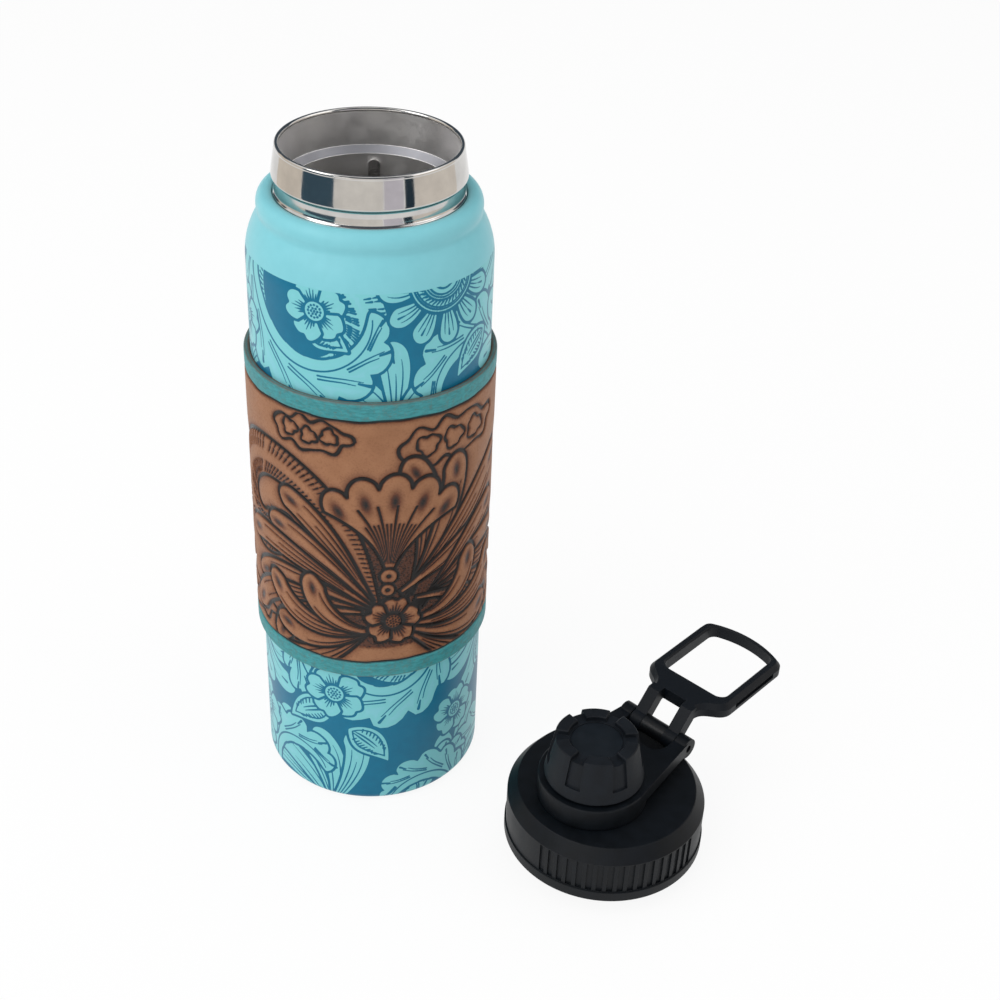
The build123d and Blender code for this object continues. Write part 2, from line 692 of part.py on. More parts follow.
with BuildPart() as carry_loop:
    with BuildSketch(loop_plane):
        with BuildLine():
            Line((web_start_reach, 0), (web_start_reach, leg_outer))
            Spline((web_start_reach, leg_outer), (loop_side_reach, loop_half_width),
                   tangents=((1, 0), (1, 0)))
            Line((loop_side_reach, loop_half_width), (side_end_reach, loop_half_width))
            ThreePointArc((side_end_reach, loop_half_width),
                          corner_middle(far_centre, loop_far_radius, far_angle), (loop_far_reach, 0))
            Line((loop_far_reach, 0), (web_start_reach, 0))
        make_face()
        mirror(about=Plane.XZ)
        with BuildLine():
            Polyline((window_side_end, window_half_width), (window_reach, window_half_width),
                     (window_reach, -window_half_width), (window_side_end, -window_half_width))
            ThreePointArc((window_side_end, -window_half_width), (window_far_reach, 0),
                          (window_side_end, window_half_width))
        make_face(mode=Mode.SUBTRACT)
    extrude(amount=loop_thickness)
    fillet(upright_edges(carry_loop, loop_plane, side_end_reach), loop_far_corner)
    fillet(upright_edges(carry_loop, loop_plane, window_reach), window_corner)
    fillet(upright_edges(carry_loop, loop_plane, window_side_end), window_corner)
    top_face = carry_loop.faces().sort_by(Axis.Z)[-1]
    outer_edges = top_face.outer_wire().edges().filter_by(
        lambda edge: loop_plane.to_local_coords(edge.center()).X > web_start_reach + fitting_gap)
    chamfer(outer_edges, loop_bevel_height, loop_bevel_width, reference=top_face)
    window_edges = carry_loop.faces().sort_by(Axis.Z)[-1].inner_wires()[0].edges()
    chamfer(window_edges, window_bevel)
    for side in (barrel_half_length, -leg_outer):
        with BuildSketch(hinge_plane(side)):
            outline([face_start, (crank_reach, crank_rise), (web_edge_reach, crank_rise),
                     (web_edge_reach, loop_rise), (back_reach, loop_rise), back_start])
            Circle(leg_eye_radius)
        extrude(amount=leg_width)
    with BuildSketch(loop_plane.offset(-overrun)):
        with Locations((web_edge_reach - overrun, 0)):
            Rectangle(2 * overrun, 2 * barrel_half_length)
    extrude(amount=loop_thickness + 2 * overrun, mode=Mode.SUBTRACT)
    with BuildSketch(hinge_plane(-loop_half_width - overrun)):
        outline([(frame_start_reach, crank_rise), (frame_start_reach, crank_rise + overrun),
                 (-overrun, crank_rise + overrun), (-overrun, crank_rise - web_fall)])
    extrude(amount=2 * (loop_half_width + overrun), mode=Mode.SUBTRACT)
    channel_length = (side_end_reach - loop_side_reach) * channel_share
    channel_middle = loop_side_reach + channel_margin + channel_length * half_share
    with BuildSketch(loop_plane.offset(channel_rise)):
        with Locations((channel_middle, loop_half_width), (channel_middle, -loop_half_width)):
            Rectangle(channel_length, 2 * channel_depth)
    extrude(amount=channel_height, mode=Mode.SUBTRACT)
    with BuildSketch(hinge_plane(-loop_half_width - overrun)):
        Circle(pin_radius + pin_clearance)
    extrude(amount=2 * (loop_half_width + overrun), mode=Mode.SUBTRACT)
keep(carry_loop.part, "carry_loop")


def knob_radius_at(height):
    """Radius of the knob's cone at a height."""
    share = (height - knob_bottom) / (knob_deck_height - knob_bottom)
    return knob_base_radius + (knob_deck_radius - knob_base_radius) * share


# Cap knob: hollow cone with six raised blocks, and a side slot under each gap
with BuildPart() as cap_knob:
    block_top = knob_deck_height + block_height
    with BuildSketch(upright(spout)):
        outline([(0, knob_bottom), (knob_base_radius, knob_bottom),
                 (knob_radius_at(block_top), block_top), (block_inner_radius, block_top),
                 (block_inner_radius, knob_deck_height), (0, knob_deck_height)])
    revolve(axis=turning_axis(spout))
    foot_edge = cap_knob.edges().filter_by(GeomType.CIRCLE).group_by(SortBy.RADIUS)[-1]
    fillet(foot_edge, knob_foot_round)
    gap_arc = 360 / block_count - block_arc
    for number in range(block_count):
        gap_start = block_first_angle + block_arc * half_share + number * 360 / block_count
        with BuildSketch(upright(spout, gap_start)):
            outline([(knob_radius_at(slot_bottom_height) - slot_depth, slot_bottom_height),
                     (knob_base_radius + overrun, slot_bottom_height),
                     (knob_base_radius + overrun, block_top + overrun),
                     (block_inner_radius - block_chamfer, block_top + overrun),
                     (block_inner_radius - block_chamfer, knob_deck_height),
                     (knob_radius_at(knob_deck_height) - slot_depth, knob_deck_height)])
        revolve(axis=turning_axis(spout), revolution_arc=gap_arc, mode=Mode.SUBTRACT)
    chamfer(cap_knob.faces().group_by(Axis.Z)[-1].edges(), block_chamfer)
    with BuildSketch(spout.offset(knob_bottom - overrun)):
        Circle(cavity_radius)
    extrude(amount=cavity_top - knob_bottom + overrun, mode=Mode.SUBTRACT)
    with BuildSketch(spout.offset(knob_deck_height - disc_recess_depth)):
        Circle(disc_recess_radius)
    extrude(amount=overrun, mode=Mode.SUBTRACT)
keep(cap_knob.part, "cap_knob")


# Round inlay in the knob's deck
with BuildPart() as cap_disc:
    with BuildSketch(spout.offset(knob_deck_height - disc_recess_depth)):
        Circle(disc_recess_radius - disc_clearance)
    extrude(amount=disc_thickness)
keep(cap_disc.part, "cap_disc")


# Liner inside the knob, round the spout
with BuildPart() as cap_liner:
    with BuildSketch(spout.offset(knob_bottom + liner_recess)):
        Circle(liner_radius)
    extrude(amount=cavity_top - knob_bottom - liner_recess)
    with BuildSketch(spout.offset(knob_bottom)):
        Circle(liner_inner_radius)
    extrude(amount=seal_top - knob_bottom, mode=Mode.SUBTRACT)
keep(cap_liner.part, "cap_liner")


# Seal between the liner's ceiling and the spout's lip
with BuildPart() as cap_seal:
    with BuildSketch(spout.offset(spout_top_height)):
        Circle(liner_inner_radius - seal_clearance)
    extrude(amount=seal_thickness)
keep(cap_seal.part, "cap_seal")
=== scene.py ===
"""Looks of the insulated bottle: printed coat, tooled leather wrap, polished neck and moulded lid."""
import logging
from dataclasses import dataclass, replace
from enum import Enum
from functools import partial
from math import cos, pi, radians, sin, tau

import bmesh
import bpy
import numpy as np
from mathutils import Matrix, Vector


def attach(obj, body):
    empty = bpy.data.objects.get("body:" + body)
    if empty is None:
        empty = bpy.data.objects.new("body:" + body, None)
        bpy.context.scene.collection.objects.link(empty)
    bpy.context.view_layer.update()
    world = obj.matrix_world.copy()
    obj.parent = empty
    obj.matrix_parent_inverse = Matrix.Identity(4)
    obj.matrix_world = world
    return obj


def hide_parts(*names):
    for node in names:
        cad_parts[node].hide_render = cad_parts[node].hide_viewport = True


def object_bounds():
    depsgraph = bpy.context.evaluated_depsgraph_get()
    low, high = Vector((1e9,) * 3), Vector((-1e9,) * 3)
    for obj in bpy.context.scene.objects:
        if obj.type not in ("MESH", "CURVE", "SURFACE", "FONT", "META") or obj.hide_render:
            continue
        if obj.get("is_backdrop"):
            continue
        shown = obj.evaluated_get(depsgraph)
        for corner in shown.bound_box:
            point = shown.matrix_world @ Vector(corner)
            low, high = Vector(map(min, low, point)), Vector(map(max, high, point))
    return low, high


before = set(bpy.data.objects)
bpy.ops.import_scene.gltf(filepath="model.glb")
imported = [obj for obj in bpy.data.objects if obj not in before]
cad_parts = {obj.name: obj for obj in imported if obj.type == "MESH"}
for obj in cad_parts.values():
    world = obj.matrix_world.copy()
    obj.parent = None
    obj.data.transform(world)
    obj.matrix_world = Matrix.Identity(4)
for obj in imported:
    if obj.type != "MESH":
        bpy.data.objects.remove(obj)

LOG = logging.getLogger("bottle")
MM = 0.001


# Drawing: curves and shapes on a flat sheet, in millimetres

def flow(length: float, curl: float, tighten: float = 1.0, hook: float = 0.0,
         count: int = 56) -> tuple[np.ndarray, np.ndarray, np.ndarray]:
    """A curve that starts at the origin along +Y and bends more and more.

    Args:
        length: length along the curve.
        curl: angle in radians that it turns through, to the left when positive.
        tighten: above 1 the bend gathers towards the end.
        hook: further turning close to the end.
        count: number of points, which stand closer near the end.

    Returns:
        The points, the unit normals to their left, and the share of the length that each has behind it.
    """
    share = np.sin(np.linspace(0, pi / 2, count))
    heading = pi / 2 + curl * share ** tighten + hook * share ** 6
    step = np.diff(share) * length
    middle = (heading[:-1] + heading[1:]) / 2
    x = np.concatenate([[0], np.cumsum(np.cos(middle) * step)])
    y = np.concatenate([[0], np.cumsum(np.sin(middle) * step)])
    return np.stack([x, y], 1), np.stack([-np.sin(heading), np.cos(heading)], 1), share


def ribbon(points: np.ndarray, normals: np.ndarray, left: np.ndarray, right: np.ndarray) -> np.ndarray:
    """Closed outline that runs beside a curve on both sides.

    Args:
        points: the curve.
        normals: its normals to the left.
        left: distance to the left edge at each point.
        right: distance to the right edge at each point.

    Returns:
        The outline's points.
    """
    return np.concatenate([points + normals * left[:, None], (points - normals * right[:, None])[::-1]])


def ring(radius: float, count: int = 40) -> np.ndarray:
    """Evenly spaced points on a circle about the origin, the first on the right."""
    angle = np.linspace(0, tau, count, endpoint=False)
    return np.stack([radius * np.cos(angle), radius * np.sin(angle)], 1)


def ray(angle: np.ndarray | float, reach: np.ndarray | float) -> np.ndarray:
    """Points at a distance from the origin, at angles in radians to the right of +Y."""
    return np.stack(np.broadcast_arrays(np.sin(angle) * reach, np.cos(angle) * reach), -1)


def smooth(points: np.ndarray, count: int) -> np.ndarray:
    """A smooth open curve through points.

    Args:
        points: what it passes through.
        count: number of points on each stretch.

    Returns:
        The curve's points.
    """
    padded = np.concatenate([2 * points[:1] - points[1:2], points, 2 * points[-1:] - points[-2:-1]])
    share = np.linspace(0, 1, count, endpoint=False)[:, None]
    runs = []
    for a, b, c, d in zip(padded[:-3], padded[1:-2], padded[2:-1], padded[3:]):
        runs.append(0.5 * (2 * b + (c - a) * share + (2 * a - 5 * b + 4 * c - d) * share ** 2
                           + (3 * b - a - 3 * c + d) * share ** 3))
    return np.concatenate(runs + [points[-1:]])


def line_distance(x: np.ndarray, y: np.ndarray, points: np.ndarray, radii: np.ndarray) -> np.ndarray:
    """Distance from a grid to a tapered line, negative inside it.

    Args:
        x: row of places across the sheet.
        y: column of places up the sheet.
        points: the line's points.
        radii: half width at each point.

    Returns:
        Distance at each place.
    """
    best = np.full((y.shape[0], x.shape[1]), 1e3)
    for start, end, first, last in zip(points[:-1], points[1:], radii[:-1], radii[1:]):
        run = end - start
        dx, dy = x - start[0], y - start[1]
        share = np.clip((dx * run[0] + dy * run[1]) / max(run @ run, 1e-9), 0, 1)
        away = np.hypot(dx - share * run[0], dy - share * run[1]) - (first + share * (last - first))
        np.minimum(best, away, out=best)
    return best


def shape_distance(x: np.ndarray, y: np.ndarray, outline: np.ndarray) -> np.ndarray:
    """Distance from a grid to a closed outline, negative inside it.

    Args:
        x: row of places across the sheet.
        y: column of places up the sheet.
        outline: the outline's points.

    Returns:
        Distance at each place.
    """
    closed = np.concatenate([outline, outline[:1]])
    away = line_distance(x, y, closed, np.zeros(len(closed)))
    turns = np.zeros(away.shape)
    for (ax, ay), (bx, by) in zip(closed[:-1], closed[1:]):
        side = (bx - ax) * (y - ay) - (x - ax) * (by - ay)
        turns += ((ay <= y) & (by > y) & (side > 0)).astype(float)
        turns -= ((ay > y) & (by <= y) & (side < 0)).astype(float)
    return np.where(turns != 0, -away, away)


@dataclass(frozen=True)
class Place:
    """Where a motif sits on the sheet: across and up in mm, turn in degrees, size, and whether mirrored."""
    x: float
    y: float
    turn: float = 0.0
    size: float = 1.0
    mirrored: bool = False

    def put(self, points: np.ndarray) -> np.ndarray:
        """Moves points of the motif to this place.

        Args:
            points: one point or several, in the motif's own directions, in mm.

        Returns:
            The points on the sheet.
        """
        local = np.atleast_2d(np.asarray(points, float)) * self.size
        if self.mirrored:
            local = local * (-1, 1)
        angle = radians(self.turn)
        across = local[:, 0] * cos(angle) - local[:, 1] * sin(angle)
        up = local[:, 0] * sin(angle) + local[:, 1] * cos(angle)
        return np.stack([across + self.x, up + self.y], 1)

    def then(self, x: float, y: float, turn: float = 0.0) -> "Place":
        """A place given in this one's own directions.

        Args:
            x: how far to the right of this place.
            y: how far ahead of it.
            turn: its turn in degrees against this one's.

        Returns:
            The new place, of the same size and hand.
        """
        spot = self.put(np.array([[x, y]]))[0]
        sign = -1 if self.mirrored else 1
        return Place(spot[0], spot[1], self.turn + sign * turn, self.size, self.mirrored)


class Sheet:
    """A sheet that wraps round the bottle, cut into a fine grid; later drawing covers what lies below."""

    def __init__(self, around: float, low: float, high: float, pitch: float) -> None:
        """Lays out the grid.

        Args:
            around: length of the wrap.
            low: lowest height.
            high: highest height.
            pitch: distance between grid lines.
        """
        self.columns = int(round(around / pitch))
        self.rows = int(round((high - low) / pitch)) + 1
        self.around = around
        self.low = low
        self.step_x = around / self.columns
        self.step_y = (high - low) / (self.rows - 1)
        self.heights = low + self.step_y * np.arange(self.rows)

    def window(self, points: np.ndarray, margin: float) -> tuple[tuple, np.ndarray, np.ndarray]:
        """The part of the grid near some points.

        Args:
            points: what is drawn.
            margin: how far beyond it the drawing reaches.

        Returns:
            The index of that part, and its places across and up.
        """
        low_x, low_y = points.min(0) - margin
        high_x, high_y = points.max(0) + margin
        columns = np.arange(int(low_x // self.step_x), int(high_x // self.step_x) + 2)
        first = max(int((low_y - self.low) // self.step_y), 0)
        last = min(int((high_y - self.low) // self.step_y) + 2, self.rows)
        rows = np.arange(first, max(last, first))
        index = np.ix_(rows, columns % self.columns)
        return index, columns[None, :] * self.step_x, self.heights[rows][:, None]

    def shape(self, outline: np.ndarray, edge: float = 1.0) -> None:
        """Draws a raised or light shape."""
        raise NotImplementedError

    def line(self, points: np.ndarray, radii: np.ndarray) -> None:
        """Draws a cut or dark line."""
        raise NotImplementedError

    def spot(self, centre: np.ndarray, radius: float, reach: np.ndarray) -> None:
        """Draws a shaded spot, longer along reach."""
        raise NotImplementedError

    def contour(self, outline: np.ndarray, inset: float, half_width: float) -> None:
        """Draws a line inside a shape, at one distance from its edge."""
        raise NotImplementedError

    def dot(self, centre: np.ndarray, radius: float) -> None:
        """Draws a round cut or dark mark, as a line that is hardly longer than nothing."""
        self.line(np.concatenate([centre, centre + 1e-3]), np.full(2, radius))


class PrintSheet(Sheet):
    """Two-colour print: the field is the distance in mm into the light ink, negative on the dark ground.

    A line is drawn finer than a cut in leather, by line_share and line_spread. Above the print the field
    stands at bare_level, which leaves the coat bare.
    """
    ground_level = -3.0
    bare_level = 3.0
    line_share = 0.9
    line_spread = 0.08
    dash = (0.16, 0.34)

    def __init__(self, around: float, low: float, high: float, pitch: float, gap: float) -> None:
        """Lays out a dark sheet.

        Args:
            around: length of the wrap.
            low: lowest height.
            high: highest height.
            pitch: distance between grid lines.
            gap: dark margin round each shape.
        """
        super().__init__(around, low, high, pitch)
        self.gap = gap
        self.light = np.full((self.rows, self.columns), self.ground_level)

    def shape(self, outline: np.ndarray, edge: float = 1.0) -> None:
        """A light shape with a dark margin."""
        index, x, y = self.window(outline, self.gap + self.step_x)
        if index[0].size:
            away = shape_distance(x, y, outline)
            self.light[index] = np.maximum(np.minimum(self.light[index], away - self.gap * edge), -away)

    def line(self, points: np.ndarray, radii: np.ndarray) -> None:
        """A dark line."""
        index, x, y = self.window(points, radii.max() + 3 * self.step_x)
        if index[0].size:
            away = line_distance(x, y, points, self.line_share * radii + self.line_spread)
            self.light[index] = np.minimum(self.light[index], away)

    def spot(self, centre: np.ndarray, radius: float, reach: np.ndarray) -> None:
        """A short dark dash in place of shading."""
        side = reach / max(np.hypot(*reach), 1e-6) * radius
        self.line(np.array([centre - side, centre + side]), np.array(self.dash) * radius)

    def contour(self, outline: np.ndarray, inset: float, half_width: float) -> None:
        """A dark line beside the edge."""
        index, x, y = self.window(outline, self.step_x)
        if index[0].size:
            away = np.abs(shape_distance(x, y, outline) + inset)
            inked = away - self.line_share * half_width - self.line_spread
            self.light[index] = np.minimum(self.light[index], inked)

    def at_height(self, height: float) -> np.ndarray:
        """The field along one height, read between the grid's rows."""
        place = (height - self.low) / self.step_y
        first = min(int(place), self.rows - 2)
        share = place - first
        return (1 - share) * self.light[first] + share * self.light[first + 1]


def fill(away: np.ndarray, blur: float, level: float = 0.5) -> np.ndarray:
    """Share of cover at a distance from an edge, negative inside it, with the edge blurred over some mm."""
    return np.clip(level - away / blur, 0, 1)


@dataclass(frozen=True)
class Fade:
    """How a tool's mark dies away: its strength at the cut, and the distance in mm over which it fades."""
    strength: float
    reach: float

    def at(self, distance: np.ndarray) -> np.ndarray:
        """Strength at a distance; full strength at negative ones."""
        return self.strength * np.exp(-np.maximum(distance, 0) / self.reach)


class LeatherSheet(Sheet):
    """Tooled leather: how deep tools pressed, how dark dye and painted shade lie, and where the ground is
    matted.

    Depths, reaches and blurs are in mm, dyes are shares of full black, and a margin is how far beyond its
    points in mm a tool still changes the hide.
    """
    bevel_outside = Fade(0.8, 2.4)
    bevel_inside = Fade(0.42, 1.2)
    # Darkening beside cuts: partly antique in the bevels, partly painted shade for the relief
    shade_outside = Fade(0.74, 1.7)
    shade_inside = Fade(0.52, 1.0)
    line_shade = Fade(0.45, 0.8)
    knife_reach = 0.92
    shape_margin = 6.0
    shape_blur = 0.5
    line_margin = 3.0
    line_blur = 0.5
    line_level = 0.55
    line_depth = 0.62
    line_slope = 0.3
    line_dye = 0.95
    hollow_depth = 0.42
    hollow_dye = 0.78
    contour_margin = 1.0
    contour_blur = 0.45
    contour_depth = 0.45
    contour_dye = 0.9
    ground_margin = 2.0
    ground_blur = 1.2
    ground_depth = 0.6
    ground_dye = 0.58

    def __init__(self, around: float, low: float, high: float, pitch: float) -> None:
        """Lays out a plain hide.

        Args:
            around: length of the wrap.
            low: lowest height.
            high: highest height.
            pitch: distance between grid lines.
        """
        super().__init__(around, low, high, pitch)
        self.height = np.zeros((self.rows, self.columns))
        self.dye_and_shade = np.zeros((self.rows, self.columns))
        self.matting = np.zeros((self.rows, self.columns))

    def press(self, index: tuple, depth: np.ndarray, dye_and_shade: np.ndarray) -> None:
        """Lowers and darkens a part of the hide where the tool goes deeper than what is there."""
        self.height[index] = np.minimum(self.height[index], -depth)
        self.dye_and_shade[index] = np.maximum(self.dye_and_shade[index], dye_and_shade)

    def shape(self, outline: np.ndarray, edge: float = 1.0) -> None:
        """A shape cut round by the knife, bevelled outside, darkened at its edge by antique and painted
        shade.

        Args:
            outline: the shape's points.
            edge: how heavy its edge is, 1 for a full cut.
        """
        index, x, y = self.window(outline, self.shape_margin)
        if not index[0].size:
            return
        away = shape_distance(x, y, outline)
        clear = fill(away, self.shape_blur)
        for layer in (self.height, self.dye_and_shade, self.matting):
            layer[index] *= 1 - clear
        cut = np.exp(-(away / (self.knife_reach * edge)) ** 4)
        bevel = np.where(away > 0, self.bevel_outside.at(away), self.bevel_inside.at(-away))
        # Beside the cut the hide darkens, partly from antique in the bevel and partly as painted shade
        shade = np.where(away > 0, self.shade_outside.at(away), self.shade_inside.at(-away))
        self.press(index, np.maximum(cut, bevel) * min(edge, 1), np.maximum(cut, shade))

    def line(self, points: np.ndarray, radii: np.ndarray) -> None:
        """A decorative cut that dye has settled in, with painted shade beside it.

        Args:
            points: the line's points.
            radii: half width at each point.
        """
        index, x, y = self.window(points, radii.max() + self.line_margin)
        if index[0].size:
            away = line_distance(x, y, points, radii)
            core = fill(away, self.line_blur, self.line_level)
            # The halo slopes the hide down beside the cut and darkens it with painted shade
            halo = self.line_shade.at(away)
            depth = self.line_depth * core + self.line_slope * halo
            self.press(index, depth, np.maximum(self.line_dye * core, halo))

    def spot(self, centre: np.ndarray, radius: float, reach: np.ndarray) -> None:
        """A pear-shaded hollow.

        Args:
            centre: its middle.
            radius: its half width.
            reach: its half length, as a direction.
        """
        length = max(np.hypot(*reach), 1e-6)
        along = reach / length
        index, x, y = self.window(centre[None, :], 3 * max(radius, length))
        if index[0].size:
            ahead = (x - centre[0]) * along[0] + (y - centre[1]) * along[1]
            aside = (x - centre[0]) * along[1] - (y - centre[1]) * along[0]
            near = np.exp(-(ahead / length) ** 2 - (aside / radius) ** 2)
            self.press(index, self.hollow_depth * near, self.hollow_dye * near)

    def contour(self, outline: np.ndarray, inset: float, half_width: float) -> None:
        """A cut line beside the edge."""
        index, x, y = self.window(outline, self.contour_margin)
        if index[0].size:
            away = np.abs(shape_distance(x, y, outline) + inset) - half_width
            core = fill(away, self.contour_blur)
            self.press(index, self.contour_depth * core, self.contour_dye * core)

    def ground(self, outline: np.ndarray) -> None:
        """Matted background, pressed down and dark."""
        index, x, y = self.window(outline, self.ground_margin)
        if index[0].size:
            inside = fill(shape_distance(x, y, outline), self.ground_blur)
            self.press(index, self.ground_depth * inside, self.ground_dye * inside)
            self.matting[index] = np.maximum(self.matting[index], inside)


# Motifs of traditional western scrollwork

class Motif:
    """Something that can be drawn on a sheet, at a place of its own."""
    place: Place

    def draw(self, sheet: Sheet) -> None:
        """Draws the motif."""
        raise NotImplementedError


class Weight(Enum):
    """How heavy a motif's inner lines are, in mm of half width."""
    FINE = 0.28
    MEDIUM = 0.38


@dataclass(frozen=True)
class Leaf(Motif):
    """A leaf along a bending spine, lobed on its outer side.

    length and width are in mm and curl in radians. fold is the inner side's share of the width.
    """
    place: Place
    length: float
    width: float
    curl: float = 0.6
    tighten: float = 1.4
    lobes: int = 4
    fold: float = 0.3
    weight: Weight = Weight.MEDIUM

    def draw(self, sheet: Sheet) -> None:
        """Cuts the leaf, its spine, and for each lobe two veins and a hollow.

        Args:
            sheet: what it is drawn on.
        """
        points, normals, share = flow(self.length, self.curl, self.tighten, count=80)
        swell = np.sin(pi * np.clip(share, 0.001, 0.999) ** 0.8) ** 0.6
        phase = (self.lobes * share) % 1.0
        scallop = np.sqrt(np.clip(1 - (2 * phase - 1) ** 2, 0, 1)) * (0.75 + 0.25 * phase)
        outer = self.width * swell * (0.5 + 0.5 * scallop)
        inner = self.width * self.fold * swell
        ahead = np.stack([normals[:, 1], -normals[:, 0]], 1)
        sheet.shape(self.place.put(ribbon(points + 0.3 * outer[:, None] * ahead, normals, inner, outer)))
        size = self.place.size
        thick = self.weight.value * size ** 0.5
        spine = self.place.put(points[3:-12])
        sheet.line(spine, np.linspace(1.3, 0.5, len(spine)) * thick)
        for lobe in range(self.lobes):
            root = int(np.searchsorted(share, max((lobe - 0.3) / self.lobes, 0.03)))
            tip = int(np.searchsorted(share, (lobe + 0.45) / self.lobes))
            far = points[tip] - normals[tip] * outer[tip] * 0.62 + ahead[tip] * outer[tip] * 0.3
            for aside in (-0.5, 0.6):
                end = far + ahead[tip] * aside * 0.16 * self.width
                start = points[root] - normals[root] * outer[root] * (0.12 + 0.1 * (aside < 0))
                bend = (start + end) / 2 + (points[tip] - points[root]) * 0.18
                vein = self.place.put(smooth(np.array([start, bend, end]), 7))
                sheet.line(vein, np.linspace(0.9, 0.4, len(vein)) * thick)
            hollow = self.place.put(far + (far - points[root]) * 0.12)[0]
            reach = hollow - self.place.put(points[root])[0]
            reach = reach / np.hypot(*reach) * 0.24 * self.width * size
            sheet.spot(hollow, 0.12 * self.width * size, reach)


@dataclass(frozen=True)
class Blade(Motif):
    """A long smooth leaf with a round end, with lines that follow it and a hollow near its tip."""
    place: Place
    length: float
    width: float
    curl: float = 0.4
    tighten: float = 1.3
    hook: float = 0.0
    lines: int = 2
    weight: Weight = Weight.MEDIUM

    def draw(self, sheet: Sheet) -> None:
        """Cuts the blade, its inner lines and the hollow at its tip.

        Args:
            sheet: what it is drawn on.
        """
        points, normals, share = flow(self.length, self.curl, self.tighten, self.hook)
        end = 1 - 0.55 * self.width / self.length
        swell = 0.2 + 0.8 * np.sin(pi / 2 * np.clip(share / 0.8, 0, 1)) ** 1.7
        swell = swell * np.sqrt(1 - np.clip((share - end) / (1 - end), 0, 1) ** 2)
        half = self.width * 0.5 * swell
        sheet.shape(self.place.put(ribbon(points, normals, half, half)))
        size = self.place.size
        for number in range(self.lines):
            side = 0 if self.lines == 1 else number / (self.lines - 1) - 0.5
            last = int(np.searchsorted(share, 0.8 - 0.14 * (number % 2)))
            track = self.place.put((points + normals * (half * side)[:, None])[5 + 2 * (number % 2):last])
            taper = np.interp(np.linspace(0, 1, len(track)), [0, 0.4, 1], [0.5, 1, 0.35])
            sheet.line(track, taper * self.weight.value * size ** 0.5)
        at = int(np.searchsorted(share, end - 0.02))
        tip = self.place.put(points[at])[0]
        reach = tip - self.place.put(points[at - 4])[0]
        sheet.spot(tip, 0.17 * self.width * size, reach / np.hypot(*reach) * 0.36 * self.width * size)


@dataclass(frozen=True)
class Spray(Motif):
    """Blades that leave one root and sweep apart, each over the one before.

    first and last are the angles at which the outermost blades leave, in degrees to the left of the spray's
    own direction. bend and bend_last are how far they curl, in radians, and step how far apart the roots
    are, in mm.
    """
    place: Place
    length: float
    width: float
    count: int = 5
    first: float = 60.0
    last: float = -60.0
    bend: float = 0.6
    bend_last: float = -0.6
    hook: float = 0.4
    weight: Weight = Weight.MEDIUM
    step: float = 2.2

    def draw(self, sheet: Sheet) -> None:
        """Draws the blades in order.

        Args:
            sheet: what it is drawn on.
        """
        for number in range(self.count):
            share = number / max(self.count - 1, 1)
            turn = self.first + (self.last - self.first) * share
            bend = self.bend + (self.bend_last - self.bend) * share
            reach = self.length * (0.72 + 0.28 * sin(pi * (0.15 + 0.7 * share))) * (1 - 0.14 * (number % 2))
            along = self.step * (share - 0.5) * self.count
            start = self.place.then(-along * 0.5, abs(along) * 0.4, turn)
            hook = self.hook * (1 if bend > 0 else -1)
            Blade(start, reach, self.width, bend, 1.25, hook, 3 - number % 2, self.weight).draw(sheet)


@dataclass(frozen=True)
class Fan(Motif):
    """An open palmette: scalloped rim, fine cuts that meet at the root, beads on its stem."""
    place: Place
    radius: float
    spread: float = 84.0
    scallops: int = 5
    weight: Weight = Weight.MEDIUM

    def angle(self, share: np.ndarray) -> np.ndarray:
        """Half opening at a share of the radius, in radians: narrow at the root, wide at the rim."""
        return radians(self.spread / 2) * (0.3 + 0.7 * share ** 1.4)

    def draw(self, sheet: Sheet) -> None:
        """Draws the fan, its cuts and hollows, and the beads.

        Args:
            sheet: what it is drawn on.
        """
        size = self.place.size
        share = np.linspace(0.05, 1, 20)
        across = np.linspace(-1, 1, 14 * self.scallops + 1)
        swell = np.abs(np.sin(pi * self.scallops * (across + 1) / 2)) ** 0.6
        rim = self.radius * (0.88 + 0.12 * swell - 0.08 * across ** 2)
        left = ray(-self.angle(share), share * rim[0])
        right = ray(self.angle(share), share * rim[0])
        outline = np.concatenate([left, ray(across * radians(self.spread / 2), rim), right[::-1]])
        sheet.shape(self.place.put(outline))
        thick = self.weight.value * size ** 0.5
        for number in range(3 * self.scallops - 1):
            aside = -0.84 + 1.68 * number / (3 * self.scallops - 2)
            reach = np.linspace(0.2, 0.56 + 0.16 * (number % 3 == 1), 8)
            track = self.place.put(ray(aside * self.angle(reach), self.radius * reach))
            sheet.line(track, np.linspace(0.5, 1.2, 8) * thick * (1.15 if number % 3 == 1 else 0.75))
        for number in range(self.scallops):
            aside = (2 * number + 1) / self.scallops - 1
            hollow = self.place.put(ray(aside * radians(self.spread / 2), 0.76 * self.radius))[0]
            outward = hollow - self.place.put(np.zeros((1, 2)))[0]
            sheet.spot(hollow, 0.05 * self.radius * size, outward * 0.13)
        for number in range(3):
            drop = 0.13 * self.radius * (number - 0.6)
            bead = self.place.put(ring((0.075 - 0.012 * number) * self.radius, 20) - (0, drop))
            sheet.shape(bead, 0.8)
            sheet.dot(bead.mean(0, keepdims=True), 0.02 * self.radius * size)


